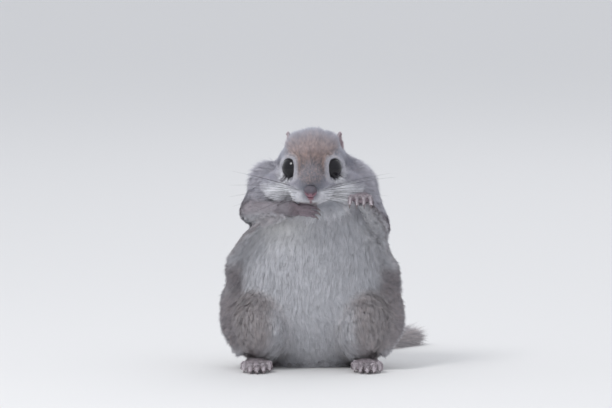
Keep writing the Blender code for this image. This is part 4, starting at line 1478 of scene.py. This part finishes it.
nose()
ears()
print("nose and ears set")


# claws and whiskers
claws = pieceFrom("claws", clawShapes, clawHorn)
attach(claws, "root")

whisker = {
    "rows": 4,
    "columns": 4,
    "lengths": (15.0, 30.0),  # mm, longest at the back
    "radii": (0.072, 0.015),  # root and tip
    "browRadii": (0.05, 0.012),
}


def whiskers():
    chance = np.random.default_rng(3)
    shapes = []

    def grow(side, root, bend, radii, across):
        path = (root + bend) * (side, 1, 1)
        sizes = np.linspace(*radii, len(path)) * mm
        shapes.append(tube(fromHead(path), sizes, sizes, across, 5))

    steps = np.linspace(0, 1, 9)[:, None]
    browSteps = np.linspace(0, 1, 7)[:, None]
    for side in (1, -1):
        for row in range(whisker["rows"]):
            for column in range(whisker["columns"]):
                back = column / (whisker["columns"] - 1)
                drop = row / (whisker["rows"] - 1)
                root = np.array([4.2 + 2.0 * back, 13.6 - 4.6 * back, -5.2 - 3.4 * drop])
                reach = np.interp(back, (0, 1), whisker["lengths"]) * chance.uniform(0.85, 1.1)
                out = unit([1.0, 0.1 - 0.55 * back, 0.20 - 0.36 * drop + chance.uniform(-0.08, 0.08)])
                sag = np.array([0, -0.35, -0.16 - 0.12 * drop])
                grow(side, root, (out * steps + sag * steps**2) * reach, whisker["radii"], headUp)
        for k in range(2):
            root = np.array([5.2 + 0.8 * k, 3.4 - 1.6 * k, 6.0 + 0.3 * k])
            out = unit([0.5 + 0.2 * k, 0.1, 0.8])
            sag = np.array([0.25, -0.4, -0.1])
            bend = (out * browSteps + sag * browSteps**2) * (6.5 + k)
            grow(side, root, bend, whisker["browRadii"], headForward)
    piece = pieceFrom("whiskers", shapes, whiskerHorn)
    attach(piece, "root")


whiskers()
print("claws and whiskers set")

flesh = [name for name in cadNodes if partOf(name) not in ("eye", "nose", "ear")]
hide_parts(*flesh)
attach(skin, "root")
for shape in (bodyTuft, flatTuft):
    bpy.data.objects.remove(shape)


# the room: a pale painted floor and soft daylight
room = {
    "floor": "#e4e3e2",
    "floorRadius": 12.0,  # m
    "grain": 0.8,  # mm
    "grainDepth": 0.1,  # mm
    "sky": "#dfe2e8",
    "skyStrength": 1.03,
    # place and size in m, and power in W
    "lights": {
        "windowLight": ((-0.65, -0.85, 1.15), 0.5, 8.2),
        "backLight": ((0.5, 1.1, 1.3), 1.2, 3.0),
    },
}


def stageFloor():
    # matt emulsion paint on a board, IOR 1.5
    made, tree, shader = newMaterial(
        "mattFloorPaint", {"Base Color": colour(room["floor"]), "Roughness": 0.8, "IOR": 1.5}
    )
    place = addNode(tree, "ShaderNodeTexCoord").outputs["Object"]
    grain = addNode(
        tree, "ShaderNodeTexNoise", {"Vector": place, "Scale": 1000 / room["grain"], "Detail": 3.0}
    )
    bump = addNode(
        tree, "ShaderNodeBump", {"Height": grain, "Strength": 0.15, "Distance": room["grainDepth"] * mm}
    )
    tree.links.new(bump.outputs["Normal"], shader.inputs["Normal"])
    turn = np.arange(64) * math.tau / 64
    rim = np.stack([np.cos(turn), np.sin(turn), 0 * turn], 1) * room["floorRadius"]
    floor = pieceFrom("floor", [(rim, [tuple(range(64))])], made)
    if floor.data.polygons[0].normal.z < 0:
        floor.data.flip_normals()


def facingTo(way):
    return Vector(way).to_track_quat("Z", "Y").to_euler()


def daylight():
    world = bpy.data.worlds.new("paleRoom")
    world.use_nodes = True
    shader = world.node_tree.nodes["Background"]
    shader.inputs["Color"].default_value = colour(room["sky"])
    shader.inputs["Strength"].default_value = room["skyStrength"]
    scene.world = world
    for name, (place, size, power) in room["lights"].items():
        data = bpy.data.lights.new(name, "AREA")
        data.shape = "DISK"
        data.size = size
        data.energy = power
        obj = bpy.data.objects.new(name, data)
        obj.location = place
        obj.rotation_euler = facingTo(place - eyesMiddle)
        scene.collection.objects.link(obj)


# camera: far off with a long lens, as the photograph was taken
view = {
    "width": 257.0,  # mm across the picture at the animal
    "lens": 400.0,
    "sensor": 36.0,
    "elevation": 4.0,
    "aim": (-2.5, 0.0, -15.1),  # mm from the eyes' middle
}


def camera():
    data = bpy.data.cameras.new("camera")
    data.lens = view["lens"]
    data.sensor_width = view["sensor"]
    data.clip_start = 0.01
    data.clip_end = 60
    obj = bpy.data.objects.new("camera", data)
    lift = math.radians(view["elevation"])
    back = np.array([0, -math.cos(lift), math.sin(lift)])
    distance = view["width"] * mm * view["lens"] / view["sensor"]
    obj.location = eyesMiddle + np.array(view["aim"]) * mm + back * distance
    obj.rotation_euler = facingTo(back)
    scene.collection.objects.link(obj)
    scene.camera = obj


stageFloor()
daylight()
camera()
scene.view_settings.view_transform = "Standard"
print("room and camera set")
